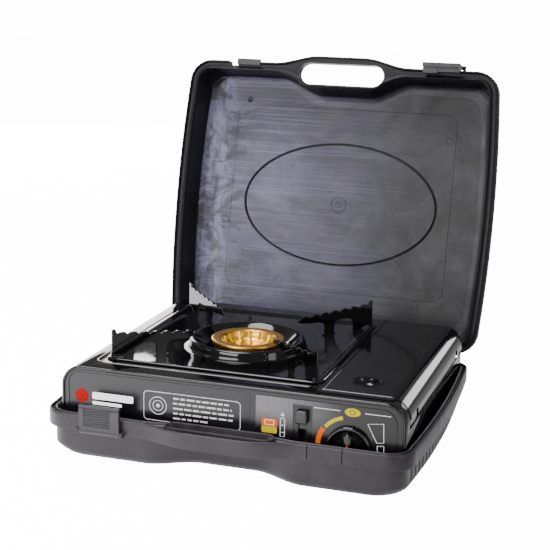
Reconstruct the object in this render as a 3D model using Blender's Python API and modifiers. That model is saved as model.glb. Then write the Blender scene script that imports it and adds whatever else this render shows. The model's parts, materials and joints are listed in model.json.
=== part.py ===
"""Portable single-burner camping stove standing in its open carry case.

+Z up, front towards -Y.  All constants below are in millimetres and are
scaled to metres on the way into the meshes.  z = 0 is the underside of the
case tray.
"""
import math

import bmesh
import bpy
from mathutils import Euler, Matrix, Vector

for _ob in list(bpy.data.objects):
    bpy.data.objects.remove(_ob, do_unlink=True)

MM = 0.001
GAP = 0.3  # clearance between pieces that touch

# ---- carry case -------------------------------------------------------------
CASE_FRONT, CASE_REAR = -157.6, 158.0
CASE_HALF_W = 187.5  # half width at the middle of the convex sides
CASE_BOW = 5.0  # how much less it is at the ends
CASE_CORNER = 26.0
TRAY_X, LID_X = -3.5, -0.5  # centre of each half
TRAY_RIM, TRAY_SKIRT = 47.0, 31.0
LID_TOP = 95.3
GRIP_FLAT, GRIP_END = 26.0, 80.0  # where the handle bulge is full, and gone
TRAY_GRIP, LID_GRIP = 12.0, 9.5
LID_OPEN = 102.5  # degrees from closed
HINGE_Y, HINGE_Z = 162.5, 47.0
KNUCKLE_R, CASE_PIN_R = 3.8, 1.9
RUN = 0.05  # running clearance round a pin
HINGES_X = (-120.0, 120.0)
LATCH_Y, LATCH_T = -163.6, 3.0
LATCH_PIN_R = 1.2

# ---- stove body -------------------------------------------------------------
HALF_W, BODY_FRONT, BODY_REAR, TOP = 170.6, -140.4, 144.0, 90.0
BODY_CORNER = 7.0  # plan radius of the rear corners
EDGE_R, SHEET = 20.0, 1.5
COVER_X, COVER_Y0, COVER_Y1 = 84.0, -126.4, 137.4
COVER_AXIS = (167.0, 68.0)  # x, z
PANEL_Y = -140.0
KNOB_XZ, KNOB_R = (118.0, 43.0), 21.5
LEVER_X = 73.3
CART_XZ, CART_R = (124.0, 53.5), 34.0

# ---- burner and pan support -------------------------------------------------
BX, BY = -28.5, 0.0
RING_R, RING_TOP = 37.8, 95.2
PLATE_HALF = 110.0
PLATE_LONG = 2.5  # extra half length along Y
COLLAR_R = 58.7
ARM_OUT, ARM_IN = 149.0, 60.0  # distance of the arm ends from the burner axis
ARM_TOP_OUT, ARM_TOP_IN, ARM_PEAK = 115.0, 108.0, 119.5
ARM_T = 1.8

parts = bpy.data.collections.new("camping_stove")
cutters = bpy.data.collections.new("cutters")
for _c in (parts, cutters):
    bpy.context.scene.collection.children.link(_c)


def material(name, rgb, rough, metal=0.0):
    m = bpy.data.materials.new(name)
    m.use_nodes = True
    b = m.node_tree.nodes["Principled BSDF"]
    b.inputs["Base Color"].default_value = (*rgb, 1.0)
    b.inputs["Roughness"].default_value = rough
    b.inputs["Metallic"].default_value = metal
    m.diffuse_color = (*rgb, 1.0)
    return m


CASE = material("case_plastic", (0.095, 0.09, 0.1), 0.5)
CASE_IN = material("lid_plastic", (0.1, 0.095, 0.11), 0.55)
LATCH = material("latch_plastic", (0.11, 0.105, 0.115), 0.5)
ENAMEL = material("black_enamel", (0.012, 0.012, 0.013), 0.15)
PAINT = material("black_paint", (0.02, 0.019, 0.022), 0.25)
LABEL = material("grey_label", (0.18, 0.17, 0.18), 0.4)
KNOB = material("knob_plastic", (0.012, 0.012, 0.013), 0.2)
BRASS = material("brass", (0.78, 0.5, 0.17), 0.3, 1.0)
CAST = material("cast_metal", (0.42, 0.42, 0.43), 0.45, 1.0)
STEEL = material("plated_steel", (0.55, 0.55, 0.56), 0.3, 1.0)
RUBBER = material("rubber", (0.02, 0.02, 0.02), 0.8)
WHITE = material("ceramic", (0.8, 0.79, 0.75), 0.35)
WIRE = material("wire_cover", (0.5, 0.08, 0.05), 0.5)


# ---- ways to make a piece ---------------------------------------------------
def settle(name, bm, mat=None, origin=(0, 0, 0), smooth=None, cutter=False):
    """An object from a bmesh in world metres, its origin at a point in millimetres."""
    o = Vector(origin) * MM
    me = bpy.data.meshes.new(name)
    bmesh.ops.translate(bm, verts=bm.verts, vec=-o)
    bmesh.ops.recalc_face_normals(bm, faces=bm.faces)
    bm.to_mesh(me)
    bm.free()
    ob = bpy.data.objects.new(name, me)
    ob.location = o
    return dress(ob, mat, smooth, cutter)


def dress(ob, mat=None, smooth=None, cutter=False):
    (cutters if cutter else parts).objects.link(ob)
    if cutter:
        ob.hide_render = True
        ob.display_type = "WIRE"
    if mat:
        ob.data.materials.append(mat)
    if smooth and ob.type == "MESH":
        ob.data.shade_smooth()
        ob.data.set_sharp_from_angle(angle=math.radians(smooth))
    return ob


def box(name, x0, x1, y0, y1, z0, z1, mat=None, **kw):
    bm = bmesh.new()
    mid = Vector(((x0 + x1) / 2, (y0 + y1) / 2, (z0 + z1) / 2)) * MM
    size = Matrix.Diagonal(((x1 - x0) * MM, (y1 - y0) * MM, (z1 - z0) * MM, 1))
    bmesh.ops.create_cube(bm, size=1.0, matrix=Matrix.Translation(mid) @ size)
    return settle(name, bm, mat, **kw)


def rod(name, p, q, r, mat=None, n=20, **kw):
    """A round rod between two points."""
    p, q = Vector(p) * MM, Vector(q) * MM
    turn = Vector((0, 0, 1)).rotation_difference(q - p).to_matrix().to_4x4()
    bm = bmesh.new()
    bmesh.ops.create_cone(
        bm,
        cap_ends=True,
        segments=n,
        radius1=r * MM,
        radius2=r * MM,
        depth=(q - p).length,
        matrix=Matrix.Translation((p + q) / 2) @ turn,
    )
    return settle(name, bm, mat, **kw)


def turned(name, profile, at, mat=None, n=36, closed=False, towards=(0, 0, 1), smooth=40, cutter=False):
    """A profile of (radius, height) turned about an axis through a point.

    The profile runs up its inner side and down its outer side; heights are
    measured from the point, along the axis.
    """
    bm = bmesh.new()
    vs = [bm.verts.new((r * MM, 0, h * MM)) for r, h in profile]
    for a, b in zip(vs, vs[1:] + (vs[:1] if closed else [])):
        bm.edges.new((a, b))
    me = bpy.data.meshes.new(name)
    bm.to_mesh(me)
    bm.free()
    ob = bpy.data.objects.new(name, me)
    ob.location = Vector(at) * MM
    ob.rotation_euler = Vector((0, 0, 1)).rotation_difference(Vector(towards)).to_euler()
    dress(ob, mat, None, cutter)
    m = ob.modifiers.new("turn", "SCREW")
    m.axis = "Z"
    m.angle = 2 * math.pi
    m.steps = m.render_steps = n
    m.use_merge_vertices = True
    m.merge_threshold = 0.00002
    m.use_smooth_shade = True
    return ob


PLANES = {  # which way an outline's own X, Y and Z lie
    "z": (0.0, 0.0, 0.0),
    "y": (math.pi / 2, 0.0, 0.0),
    "x": (math.pi / 2, 0.0, math.pi / 2),
}


def outline(name, points, axis, lo, hi, mat=None, turn=0.0, at=(0, 0), origin=(0, 0, 0), smooth=None, cutter=False, mesh=True):
    """A flat outline pushed along an axis from lo to hi.

    It is drawn in the plane across the axis.  With mesh it is turned into a
    mesh, so that it can be cut and joined.
    """
    cu = bpy.data.curves.new(name, "CURVE")
    cu.dimensions = "2D"
    cu.fill_mode = "BOTH"
    cu.extrude = (hi - lo) / 2 * MM
    sp = cu.splines.new("POLY")
    sp.points.add(len(points) - 1)
    for p, q in zip(sp.points, points):
        p.co = (q[0] * MM, q[1] * MM, 0, 1)
    sp.use_cyclic_u = True
    ob = bpy.data.objects.new(name, cu)
    rx, ry, rz = PLANES[axis]
    ob.rotation_euler = (rx, ry, rz + turn)
    mid = (lo + hi) / 2
    ob.location = Vector({"z": (at[0], at[1], mid), "y": (at[0], at[1] + mid, 0), "x": (mid, at[0], at[1])}[axis]) * MM
    if turn:
        ob.location = Vector((at[0], at[1], 0)) * MM
    if not mesh:
        return dress(ob, mat)
    bpy.context.scene.collection.objects.link(ob)
    bpy.context.view_layer.update()
    me = bpy.data.meshes.new_from_object(ob.evaluated_get(bpy.context.evaluated_depsgraph_get()))
    me.transform(ob.matrix_world)
    bm = bmesh.new()
    bm.from_mesh(me)
    bmesh.ops.remove_doubles(bm, verts=bm.verts, dist=0.00001)
    bpy.data.objects.remove(ob, do_unlink=True)
    bpy.data.meshes.remove(me)
    return settle(name, bm, mat, origin=origin, smooth=smooth, cutter=cutter)


def loft(name, rings, mat=None, ring_closed=False, **kw):
    """A skin through rings of equal length; flat ends unless the last joins the first."""
    bm = bmesh.new()
    rows = [[bm.verts.new(Vector(p) * MM) for p in ring] for ring in rings]
    n = len(rows[0])
    for a, b in zip(rows, rows[1:] + (rows[:1] if ring_closed else [])):
        for k in range(n):
            j = (k + 1) % n
            bm.faces.new((a[k], a[j], b[j], b[k]))
    if not ring_closed:
        bm.faces.new(rows[0][::-1])
        bm.faces.new(rows[-1])
    return settle(name, bm, mat, **kw)


def arc(cx, cy, r, a0, a1, n):
    """Points from angle a0 to a1 in degrees, both ends in."""
    return [
        (
            cx + r * math.cos(math.radians(a0 + (a1 - a0) * k / n)),
            cy + r * math.sin(math.radians(a0 + (a1 - a0) * k / n)),
        )
        for k in range(n + 1)
    ]


def rounded(x0, x1, y0, y1, r, n=5):
    return (
        arc(x1 - r, y0 + r, r, -90, 0, n)
        + arc(x1 - r, y1 - r, r, 0, 90, n)
        + arc(x0 + r, y1 - r, r, 90, 180, n)
        + arc(x0 + r, y0 + r, r, 180, 270, n)
    )


def stadium(cx, half, y0, y1, n=8):
    r = (y1 - y0) / 2
    return arc(cx + half - r, (y0 + y1) / 2, r, -90, 90, n) + arc(cx - half + r, (y0 + y1) / 2, r, 90, 270, n)


def combine(ob, other, kind):
    m = ob.modifiers.new(kind.lower(), "BOOLEAN")
    m.operation = kind
    m.solver = "EXACT"
    m.object = other


def cut(ob, *tools):
    for tool in tools:
        combine(ob, tool, "DIFFERENCE")


def add(ob, *tools):
    for tool in tools:
        combine(ob, tool, "UNION")


# ---- case halves ------------------------------------------------------------
GRIP_X = [110, 80, 72, 64, 56, 48, 40, 33, 26, 13]
GRIP_X = [-x for x in GRIP_X] + [0] + GRIP_X[::-1]


def grip(x):
    """1 across the middle of the handle, 0 beyond its ends, a smooth S between."""
    x = abs(x)
    if x <= GRIP_FLAT:
        return 1.0
    if x >= GRIP_END:
        return 0.0
    return 0.5 * (1 + math.cos(math.pi * (x - GRIP_FLAT) / (GRIP_END - GRIP_FLAT)))


def case_ring(cx, z, inset, bulge, corner=None):
    """The case's outline drawn in by inset; the front bulges by bulge at the handle."""
    r = corner or max(CASE_CORNER - inset, 6.0)
    yf, yr = CASE_FRONT + inset, CASE_REAR - inset
    we = CASE_HALF_W - CASE_BOW - inset
    xs = [-(we - r)] + GRIP_X + [we - r]
    pts = [(x, yf - bulge * grip(x)) for x in xs]
    half = (yr - yf) / 2 - r
    mid = (yr + yf) / 2
    side = [(we + CASE_BOW * (1 - t * t), mid + t * half) for t in (-1, -0.66, -0.33, 0, 0.33, 0.66, 1)]
    pts += arc(we - r, yf + r, r, -90, 0, 6)[1:-1]
    pts += side
    pts += arc(we - r, yr - r, r, 0, 90, 6)[1:-1]
    pts += [((we - r) * t, yr) for t in (1, 0.5, 0, -0.5, -1)]
    pts += arc(-(we - r), yr - r, r, 90, 180, 6)[1:-1]
    pts += [(-x, y) for x, y in side[::-1]]
    pts += arc(-(we - r), yf + r, r, 180, 270, 6)[1:-1]
    return [(x + cx, y, z) for x, y in pts]


TRAY_RINGS = [  # height, inset, bulge, corner
    (0.0, 18.5, -20, 30),
    (2.2, 11.6, -20, 30),
    (6.9, 7.6, -20, 28),
    (12.0, 6.5, -20, None),
    (28.0, 6.5, -19, None),
    (TRAY_SKIRT, 6.5, -6.5, None),
    (TRAY_SKIRT, 0.6, TRAY_GRIP, None),
    (TRAY_SKIRT + 1, 0.0, TRAY_GRIP, None),
    (TRAY_RIM - 1, 0.0, TRAY_GRIP, None),
    (TRAY_RIM, 1.0, TRAY_GRIP, None),
    (TRAY_RIM, 2.2, TRAY_GRIP, None),
    (TRAY_RIM - 3.5, 2.4, TRAY_GRIP, None),
    (TRAY_RIM - 3.5, 5.6, -6.5, None),
    (TRAY_RIM, 5.8, -6.5, None),
    (TRAY_RIM, 8.2, -6.5, None),
    (33.5, 9.0, -6.5, None),
    (29.5, 9.0, -19, None),
    (13.0, 9.5, -20, None),
    (6.0, 12.5, -20, 26),
    (3.0, 20.0, -20, 26),
]
tray = loft("case_tray", [case_ring(TRAY_X, *r) for r in TRAY_RINGS], CASE, smooth=35)

LID_RINGS = [
    (LID_TOP, 26.5, -18, 30),
    (92.9, 17.5, -17, 28),
    (86.3, 10.9, -16, 26),
    (77.3, 8.5, -15.6, None),
    (63.5, 8.5, -15.6, None),
    (63.5, 0.6, LID_GRIP, None),
    (62.5, 0.0, LID_GRIP, None),
    (TRAY_RIM + 1.3, 0.0, LID_GRIP, None),
    (TRAY_RIM + GAP, 1.0, LID_GRIP, None),
    (TRAY_RIM + GAP, 2.6, LID_GRIP, None),
    (50.3, 2.8, LID_GRIP, None),
    (50.3, 8.2, -15.4, None),
    (TRAY_RIM + 0.6, 8.4, -15.4, None),
    (TRAY_RIM + 0.6, 10.4, -15.4, None),
    (60.0, 10.6, -16, None),
    (80.0, 11.2, -17, None),
    (88.5, 14.0, -18.5, 22),
    (91.5, 18.0, -19.5, 22),
    (92.3, 24.0, -19.5, 22),
]
HINGE = (LID_X, HINGE_Y, HINGE_Z)
lid = loft("case_lid", [case_ring(LID_X, *r) for r in LID_RINGS], CASE_IN, origin=HINGE, smooth=35)

TRAY_GRIP_HOLE = stadium(TRAY_X, 52.0, -160.8, -146.4)
LID_GRIP_HOLE = stadium(LID_X, 50.5, -159.3, -134.5)
cut(tray, outline("cut_tray_grip", TRAY_GRIP_HOLE, "z", 25, 60, cutter=True))

# two slits beside the tray's catch, and a notch beside the lid's
for i, x in enumerate((83.0, 116.0)):
    cut(tray, box("cut_catch_slit_%d" % i, x - 0.6, x + 0.6, -159.5, -155.8, 34, 50, cutter=True))

# hinge knuckles: two pairs on the tray, one between each pair on the lid
KNUCKLES = ((-15.6, -7.9), (7.9, 15.6))
LID_KNUCKLE = (-7.6, 7.6)


def knuckle(name, x0, x1, y_in, z0, z1, **kw):
    """A round barrel on a flat lug."""
    low = z0 < HINGE_Z
    a0, a1 = (0, 180) if low else (180, 360)
    pts = arc(HINGE_Y, HINGE_Z, KNUCKLE_R, a0, a1, 10)
    if low:
        pts += [(HINGE_Y - KNUCKLE_R, z1), (y_in, z1), (y_in, z0), (HINGE_Y, z0)]
        pts += arc(HINGE_Y, HINGE_Z, KNUCKLE_R, -90, 0, 5)[1:-1]
    else:
        pts += arc(HINGE_Y, HINGE_Z, KNUCKLE_R, 0, 90, 5)[1:]
        pts += [(y_in, z1), (y_in, z0), (HINGE_Y - KNUCKLE_R, z0)]
    return outline(name, pts, "x", x0, x1, cutter=True, **kw)


for i, hx in enumerate(HINGES_X):
    for k, (a, b) in enumerate(KNUCKLES):
        add(tray, knuckle("add_tray_knuckle_%d%d" % (i, k), hx + a, hx + b, 156.8, HINGE_Z - KNUCKLE_R, 46.6))
    ends = (hx - 20, HINGE_Y, HINGE_Z), (hx + 20, HINGE_Y, HINGE_Z)
    cut(tray, rod("cut_tray_bore_%d" % i, *ends, CASE_PIN_R + RUN, n=24, cutter=True))
    ends = (hx - 16.2, HINGE_Y, HINGE_Z), (hx + 16.2, HINGE_Y, HINGE_Z)
    rod("case_hinge_pin_" + "lr"[i], *ends, CASE_PIN_R, STEEL, 24, origin=(hx, HINGE_Y, HINGE_Z), smooth=40)

# latches: a plate that swings on a pin carried by two lugs, one on each half
TRAY_LATCH_X, LID_LATCH_X = (-142.0, -100.5), (96.5, 138.0)
LATCH_AXIS = (-162.1, 33.5)


def flip(z):
    return 2 * TRAY_RIM - z


def make_latch(name, x0, x1, upside_down, origin):
    y, z = LATCH_AXIS
    pts = [(LATCH_Y, 59.5), (LATCH_Y + 0.8, 60.2), (-159.2, 59.3), (-159.2, 57.6), (-160.6, 57.0)]
    pts += arc(y, z, 2.4, 51.3, -231.3, 12)
    if upside_down:
        pts = [(y, flip(z)) for y, z in pts]
    return outline(name, pts, "x", x0, x1, LATCH, origin=origin, smooth=35)


def lug(name, x0, x1, upside_down, **kw):
    z0, z1 = (31.3, 36.2) if not upside_down else (flip(36.2), flip(31.3))
    return box(name, x0, x1, -164.2, -156.6, z0, z1, cutter=True, **kw)


def lug_spans(span):
    return (span[0] - 3.1, span[0] - GAP), (span[1] + GAP, span[1] + 3.1)


LATCH_O = (sum(TRAY_LATCH_X) / 2, *LATCH_AXIS)
tray_latch = make_latch("tray_latch", *TRAY_LATCH_X, False, LATCH_O)
ends = (TRAY_LATCH_X[0] - 6, *LATCH_AXIS), (TRAY_LATCH_X[1] + 6, *LATCH_AXIS)
bore = rod("cut_tray_latch_bore", *ends, LATCH_PIN_R + RUN, n=16, cutter=True)
cut(tray_latch, bore)
for i, (a, b) in enumerate(lug_spans(TRAY_LATCH_X)):
    add(tray, lug("add_tray_lug_%d" % i, a, b, False))
cut(tray, bore)
ends = (TRAY_LATCH_X[0] - 3, *LATCH_AXIS), (TRAY_LATCH_X[1] + 3, *LATCH_AXIS)
rod("tray_latch_pin", *ends, LATCH_PIN_R, STEEL, 16, origin=LATCH_O, smooth=40)

LID_AXIS = (LATCH_AXIS[0], flip(LATCH_AXIS[1]))
LID_LATCH_O = (sum(LID_LATCH_X) / 2, *LID_AXIS)
lid_latch = make_latch("lid_latch", *LID_LATCH_X, True, LID_LATCH_O)
ends = (LID_LATCH_X[0] - 6, *LID_AXIS), (LID_LATCH_X[1] + 6, *LID_AXIS)
latch_bore = rod("cut_lid_latch_bore", *ends, LATCH_PIN_R + RUN, n=16, origin=LID_LATCH_O, cutter=True)
lug_bore = rod("cut_lid_lug_bore", *ends, LATCH_PIN_R + RUN, n=16, origin=HINGE, cutter=True)
cut(lid_latch, latch_bore)
ends = (LID_LATCH_X[0] - 3, *LID_AXIS), (LID_LATCH_X[1] + 3, *LID_AXIS)
lid_pin = rod("lid_latch_pin", *ends, LATCH_PIN_R, STEEL, 16, origin=LID_LATCH_O, smooth=40)

# pieces of the lid are drawn closed, then turned about the hinge to stand open
joins = [lug("add_lid_lug_%d" % i, a, b, True, origin=HINGE) for i, (a, b) in enumerate(lug_spans(LID_LATCH_X))]
joins += [
    knuckle("add_lid_knuckle_%d" % i, hx + LID_KNUCKLE[0], hx + LID_KNUCKLE[1], 156.8, 47.7, HINGE_Z + KNUCKLE_R, origin=HINGE)
    for i, hx in enumerate(HINGES_X)
]
takes = [
    outline("cut_lid_grip", LID_GRIP_HOLE, "z", 40, 72, origin=HINGE, cutter=True),
    box("cut_lid_notch", -133, -125.5, -161, -151.5, 42, 72, origin=HINGE, cutter=True),
    lug_bore,
]
for i, hx in enumerate(HINGES_X):
    ends = (hx - 20, HINGE_Y, HINGE_Z), (hx + 20, HINGE_Y, HINGE_Z)
    takes.append(rod("cut_lid_bore_%d" % i, *ends, CASE_PIN_R + RUN, n=24, origin=HINGE, cutter=True))
add(lid, *joins)
cut(lid, *takes)
open_angle = -math.radians(LID_OPEN)
for ob in [lid] + joins + takes:
    ob.rotation_euler[0] = open_angle


def opened(p):
    """Where a point of the closed lid goes when it stands open."""
    return Vector(HINGE) + Euler((open_angle, 0, 0)).to_matrix() @ (Vector(p) - Vector(HINGE))


for ob in (lid_latch, latch_bore, lid_pin):
    ob.rotation_euler[0] = open_angle
    ob.location = opened(LID_LATCH_O) * MM

# ---- stove body -------------------------------------------------------------


def arch(out, z_low, r, half=HALF_W, top=TOP, n=6):
    """Left foot, over the top and down to the right foot, drawn in by out."""
    h, t = half - out, top - out
    rr = r - out
    return [(-h, z_low)] + arc(-(h - rr), t - rr, rr, 180, 90, n) + arc(h - rr, t - rr, rr, 90, 0, n) + [(h, z_low)]


shell_pts = arch(0, 50, EDGE_R) + arch(SHEET, 50, EDGE_R)[::-1]
shell = outline("top_shell", shell_pts, "y", BODY_FRONT, BODY_REAR, ENAMEL, smooth=35)
cut(
    shell,
    outline("cut_pan_opening", rounded(BX - 105.5, BX + 105.5, -108, 108, 8), "z", 80, 95, cutter=True),
    box("cut_cartridge_opening", COVER_X - 0.4, 180, COVER_Y0 - 0.4, COVER_Y1 + 0.4, 62.5, 95, cutter=True),
)
plan = [(-180, BODY_FRONT - 5), (180, BODY_FRONT - 5), (180, BODY_REAR - BODY_CORNER), (HALF_W, BODY_REAR - BODY_CORNER)]
plan += arc(HALF_W - BODY_CORNER, BODY_REAR - BODY_CORNER, BODY_CORNER, 0, 90, 5)[1:]
plan += arc(-(HALF_W - BODY_CORNER), BODY_REAR - BODY_CORNER, BODY_CORNER, 90, 180, 5) + [(-180, BODY_REAR - BODY_CORNER)]
combine(shell, outline("trim_rear_corners", plan, "z", 40, 100, cutter=True), "INTERSECT")

kx, kz = KNOB_XZ
panel_pts = (
    [(-156, 20), (-161, 25), (-166.2, 46), (-168.7, 52)]
    + arc(-150.6, 70, 18.1, 180, 90, 6)
    + arc(150.6, 70, 18.1, 90, 0, 6)
    + [(168.7, 52), (166.2, 46), (161, 25), (156, 20), (90, 20), (90, 36), (-92, 36), (-92, 20)]
)
panel = outline("front_panel", panel_pts, "y", PANEL_Y, PANEL_Y + 1.4, PAINT)
cut(
    panel,
    box("cut_panel_lever_slot", LEVER_X - 4, LEVER_X + 4, -145, -130, 43, 74, cutter=True),
    rod("cut_panel_knob_hole", (kx, -145, kz), (kx, -130, kz), 4.2, n=20, cutter=True),
)

label_pts = [(28, 39), (162, 39)] + arc(148, 69.5, 14, 0, 90, 5) + [(28, 83.5)]
label = outline("control_label", label_pts, "y", -140.9, -140.3, LABEL)
cut(
    label,
    box("cut_label_slot", 64.2, 82.8, -145, -138, 41, 79, cutter=True),
    rod("cut_label_knob_hole", (kx, -145, kz), (kx, -138, kz), 5.0, n=20, cutter=True),
)

rear_pts = [(-168.7, 60.4)] + arc(-150.6, 70, 18.1, 180, 90, 6) + arc(150.6, 70, 18.1, 90, 0, 6) + [(168.7, 60.4)]
outline("rear_panel", rear_pts, "y", 139.6, 140.8, PAINT)

# a pressed pan: a box with its top away and its edges rounded, given a thickness
bm = bmesh.new()
size = Matrix.Diagonal((332 * MM, 265 * MM, 46 * MM, 1))
bmesh.ops.create_cube(bm, size=1.0, matrix=Matrix.Translation((0, 8.5 * MM, 37 * MM)) @ size)
bmesh.ops.delete(bm, geom=[f for f in bm.faces if f.normal.z > 0.5], context="FACES_ONLY")
uprights = [e for e in bm.edges if abs((e.verts[0].co - e.verts[1].co).z) > 0.01]
bmesh.ops.bevel(bm, geom=uprights, offset=8 * MM, segments=4, profile=0.5, affect="EDGES")
low = min(v.co.z for v in bm.verts)
floor_edges = [e for e in bm.edges if all(v.co.z < low + 1e-6 for v in e.verts)]
bmesh.ops.bevel(bm, geom=floor_edges, offset=2 * MM, segments=1, profile=0.5, affect="EDGES")
chassis = settle("chassis_base", bm, STEEL, smooth=35)
wall = chassis.modifiers.new("sheet", "SOLIDIFY")
wall.thickness = 1.2 * MM
wall.offset = -1.0
wall.use_even_offset = True
cut(chassis, box("cut_chassis_front", 92, 150, -130, -118, 26, 70, cutter=True))

for name, x, y in (("fl", -138, -100), ("fr", 138, -100), ("bl", -138, 112), ("br", 138, 112)):
    turned("foot_" + name, [(0, 0), (9.5, 0), (9, -9.4), (8, -10.4), (0, -10.4)], (x, y, 13.7), RUBBER, 20)

partition = box("partition_plate", 84.0, 85.2, -122.0, 138.8, 17.0, 86.5, STEEL)
cut(
    partition,
    rod("cut_partition_pipe_hole", (78, -76.2, 64), (92, -76.2, 64), 5.5, n=16, cutter=True),
    rod("cut_partition_wire_hole", (78, -100, 40), (92, -100, 40), 3.0, n=12, cutter=True),
)

# ---- cartridge cover: flat over the compartment, round over the right edge ------
ax, az = COVER_AXIS
inner = arc(150.6, 70, 19.2, 90, 0, 7)[::-1]
cover_pts = [(COVER_X, 90.4)] + arc(150.6, 70, 20.4, 90, 0, 7) + [(171.0, 66), (169.8, 66)] + inner + [(COVER_X, 89.2)]
cover = outline("cartridge_cover", cover_pts, "y", COVER_Y0, COVER_Y1, ENAMEL, origin=(ax, 0, az), smooth=35)
cut(cover, rod("cut_cover_finger_hole", (120, -87, 80), (120, -87, 100), 12.8, n=32, cutter=True))
COVER_KNUCKLES = ((-120.0, -100.0), (110.0, 130.0))
COVER_BRACKETS = ((-99.5, -91.5), (101.5, 109.5))
for i, (a, b) in enumerate(COVER_KNUCKLES):
    pts = arc(ax, az, 2.4, 60, 300, 10) + [(170.4, az - 1.4), (170.4, az + 1.4)]
    add(cover, outline("add_cover_knuckle_%d" % i, pts, "y", a, b, cutter=True))
for i, (a, b) in enumerate(COVER_BRACKETS):
    cut(cover, box("cut_cover_notch_%d" % i, 164, 175, a - 0.4, b + 0.4, 60, 73.5, cutter=True))
    bracket = box("cover_bracket_" + "fr"[i], 164.8, 168.7, a, b, 60.3, 70.2, STEEL)
    cut(bracket, rod("cut_bracket_bore_%d" % i, (ax, a - 3, az), (ax, b + 3, az), LATCH_PIN_R + RUN, n=16, cutter=True))
cut(cover, rod("cut_cover_bore", (ax, -130, az), (ax, 140, az), LATCH_PIN_R + RUN, n=16, cutter=True))
rod("cover_hinge_pin", (ax, -121, az), (ax, 131, az), LATCH_PIN_R, STEEL, 16, origin=(ax, 0, az), smooth=40)
cup = [(0, -6.4), (3, -6.4), (7.5, -5.8), (10.6, -3.5), (11.8, -0.1)]
cup += [(12.5, -0.1), (12.5, -1.4), (11.4, -4.1), (7.9, -6.7), (3, -7.3), (0, -7.3)]
turned("finger_cup", cup, (120, -87, 90), ENAMEL, 24)

# ---- cartridge compartment ----------------------------------------------------
cxx, czz = CART_XZ
cradle_pts = arc(cxx, czz, CART_R + 1.6, 200, 340, 14) + arc(cxx, czz, CART_R + 2.8, 340, 200, 14)
outline("cartridge_cradle", cradle_pts, "y", -70, 120, STEEL, smooth=35)
outline("cartridge_pusher", rounded(cxx - 11, cxx + 11, 42, 64, 4), "y", 124, 132, STEEL, origin=(cxx, 128, czz))
outline("regulator_body", rounded(103.2, 133, 36, 72, 4), "y", -118, -84, CAST)
socket = [(9, 0), (9, 7.7), (14, 7.7), (14, 0)]
turned("regulator_socket", socket, (cxx, -83.7, czz), CAST, 28, True, towards=(0, 1, 0))

UX, UY = 0.829, -0.559  # direction of the gas line from the burner axis


def along(d, z=64.0):
    return (BX + UX * d, BY + UY * d, z)


turned("mixer_tube", [(6.6, 0), (6.6, 101), (8, 101), (8, 0)], along(27), CAST, 20, True, towards=(UX, UY, 0))
rod("injector_nozzle", along(122), along(134), 3.6, BRASS, 16, smooth=40)
rod("gas_pipe", along(134.3), along(156.6), 2.6, BRASS, 16, smooth=40)

rod("knob_shaft", (kx, -141.2, kz), (kx, -118.3, kz), 3.0, STEEL, 20, origin=(kx, PANEL_Y, kz), smooth=40)
dial = [(0, 3.6), (KNOB_R - 5, 3.6), (KNOB_R - 3, 5.2), (KNOB_R - 1.2, 5.2), (KNOB_R, 4.0), (KNOB_R, 1.5), (0, 1.5)]
knob = turned("control_knob", dial, (kx, PANEL_Y, kz), KNOB, 40, towards=(0, -1, 0), smooth=35)
bar = [(kx + x, kz + z) for z, x in stadium(0, 15.5, -4.2, 4.2, 6)]
add(knob, outline("add_knob_grip", bar, "y", -148.1, -143.0, cutter=True))

lx = LEVER_X
lever = box("cartridge_lever", lx - 5.6, lx + 5.6, -146.2, -141.4, 61.7, 74.2, KNOB, origin=(lx, PANEL_Y, 68))
soft = lever.modifiers.new("edges", "BEVEL")
soft.width = 0.9 * MM
soft.segments = 1
add(lever, box("add_lever_stem", lx - 3.2, lx + 3.2, -143, -138.3, 64, 72, cutter=True))
box("lever_slider", lx - 6.5, lx + 6.5, -138.0, -134.6, 55, 84, STEEL, origin=(lx, PANEL_Y, 68))
outline("piezo_igniter", rounded(87.8, 99, 33, 49, 2), "y", -118, -90, KNOB)

# ---- burner -----------------------------------------------------------------
bridge_pts = [(-86, 15.5), (-83, 15.5), (-83, 54.5), (26, 54.5), (26, 15.5), (29, 15.5), (29, 57.5), (-86, 57.5)]
outline("burner_bridge", bridge_pts, "y", -10, 10, STEEL)
bowl = [(0, 71), (12, 71), (25, 77), (30.5, 84), (31, 87.8), (34, 87.8), (34.5, 84), (29, 74), (18, 66), (14, 57.8), (0, 57.8)]
turned("burner_base", bowl, (BX, BY, 0), CAST, 40)
ring = [(33.5, 88.1), (28.2, 88.3), (27.7, 90.5), (28.6, 94.4), (31.5, RING_TOP), (36.8, 95.0), (RING_R, 93.4), (RING_R, 89.4)]
turned("burner_head", ring, (BX, BY, 0), BRASS, 40, True)
cup = [(0, 83.4), (8, 83.4), (21.4, 84.8), (25.6, 89.5), (26.6, 94.0), (27.4, 93.6), (26.9, 88.8), (22.2, 83.7), (8, 82.3), (0, 82.3)]
turned("burner_cup", cup, (BX, BY, 0), BRASS, 40)
turned("burner_screw", [(0, 86.6), (2.6, 86.6), (4.2, 85.6), (4.2, 83.8), (0, 83.8)], (BX, BY, 0), STEEL, 20)

ex, ey = BX - 6.0, BY + 41.5
turned("electrode_insulator", [(0, 84.2), (1.7, 84.2), (2.6, 80), (2.6, 56.5), (0, 56.5)], (ex, ey, 0), WHITE, 16)
turned("electrode_pin", [(0, 92.5), (0.4, 92.5), (0.8, 91.5), (0.8, 84.5), (0, 84.5)], (ex, ey, 0), STEEL, 12)

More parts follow.
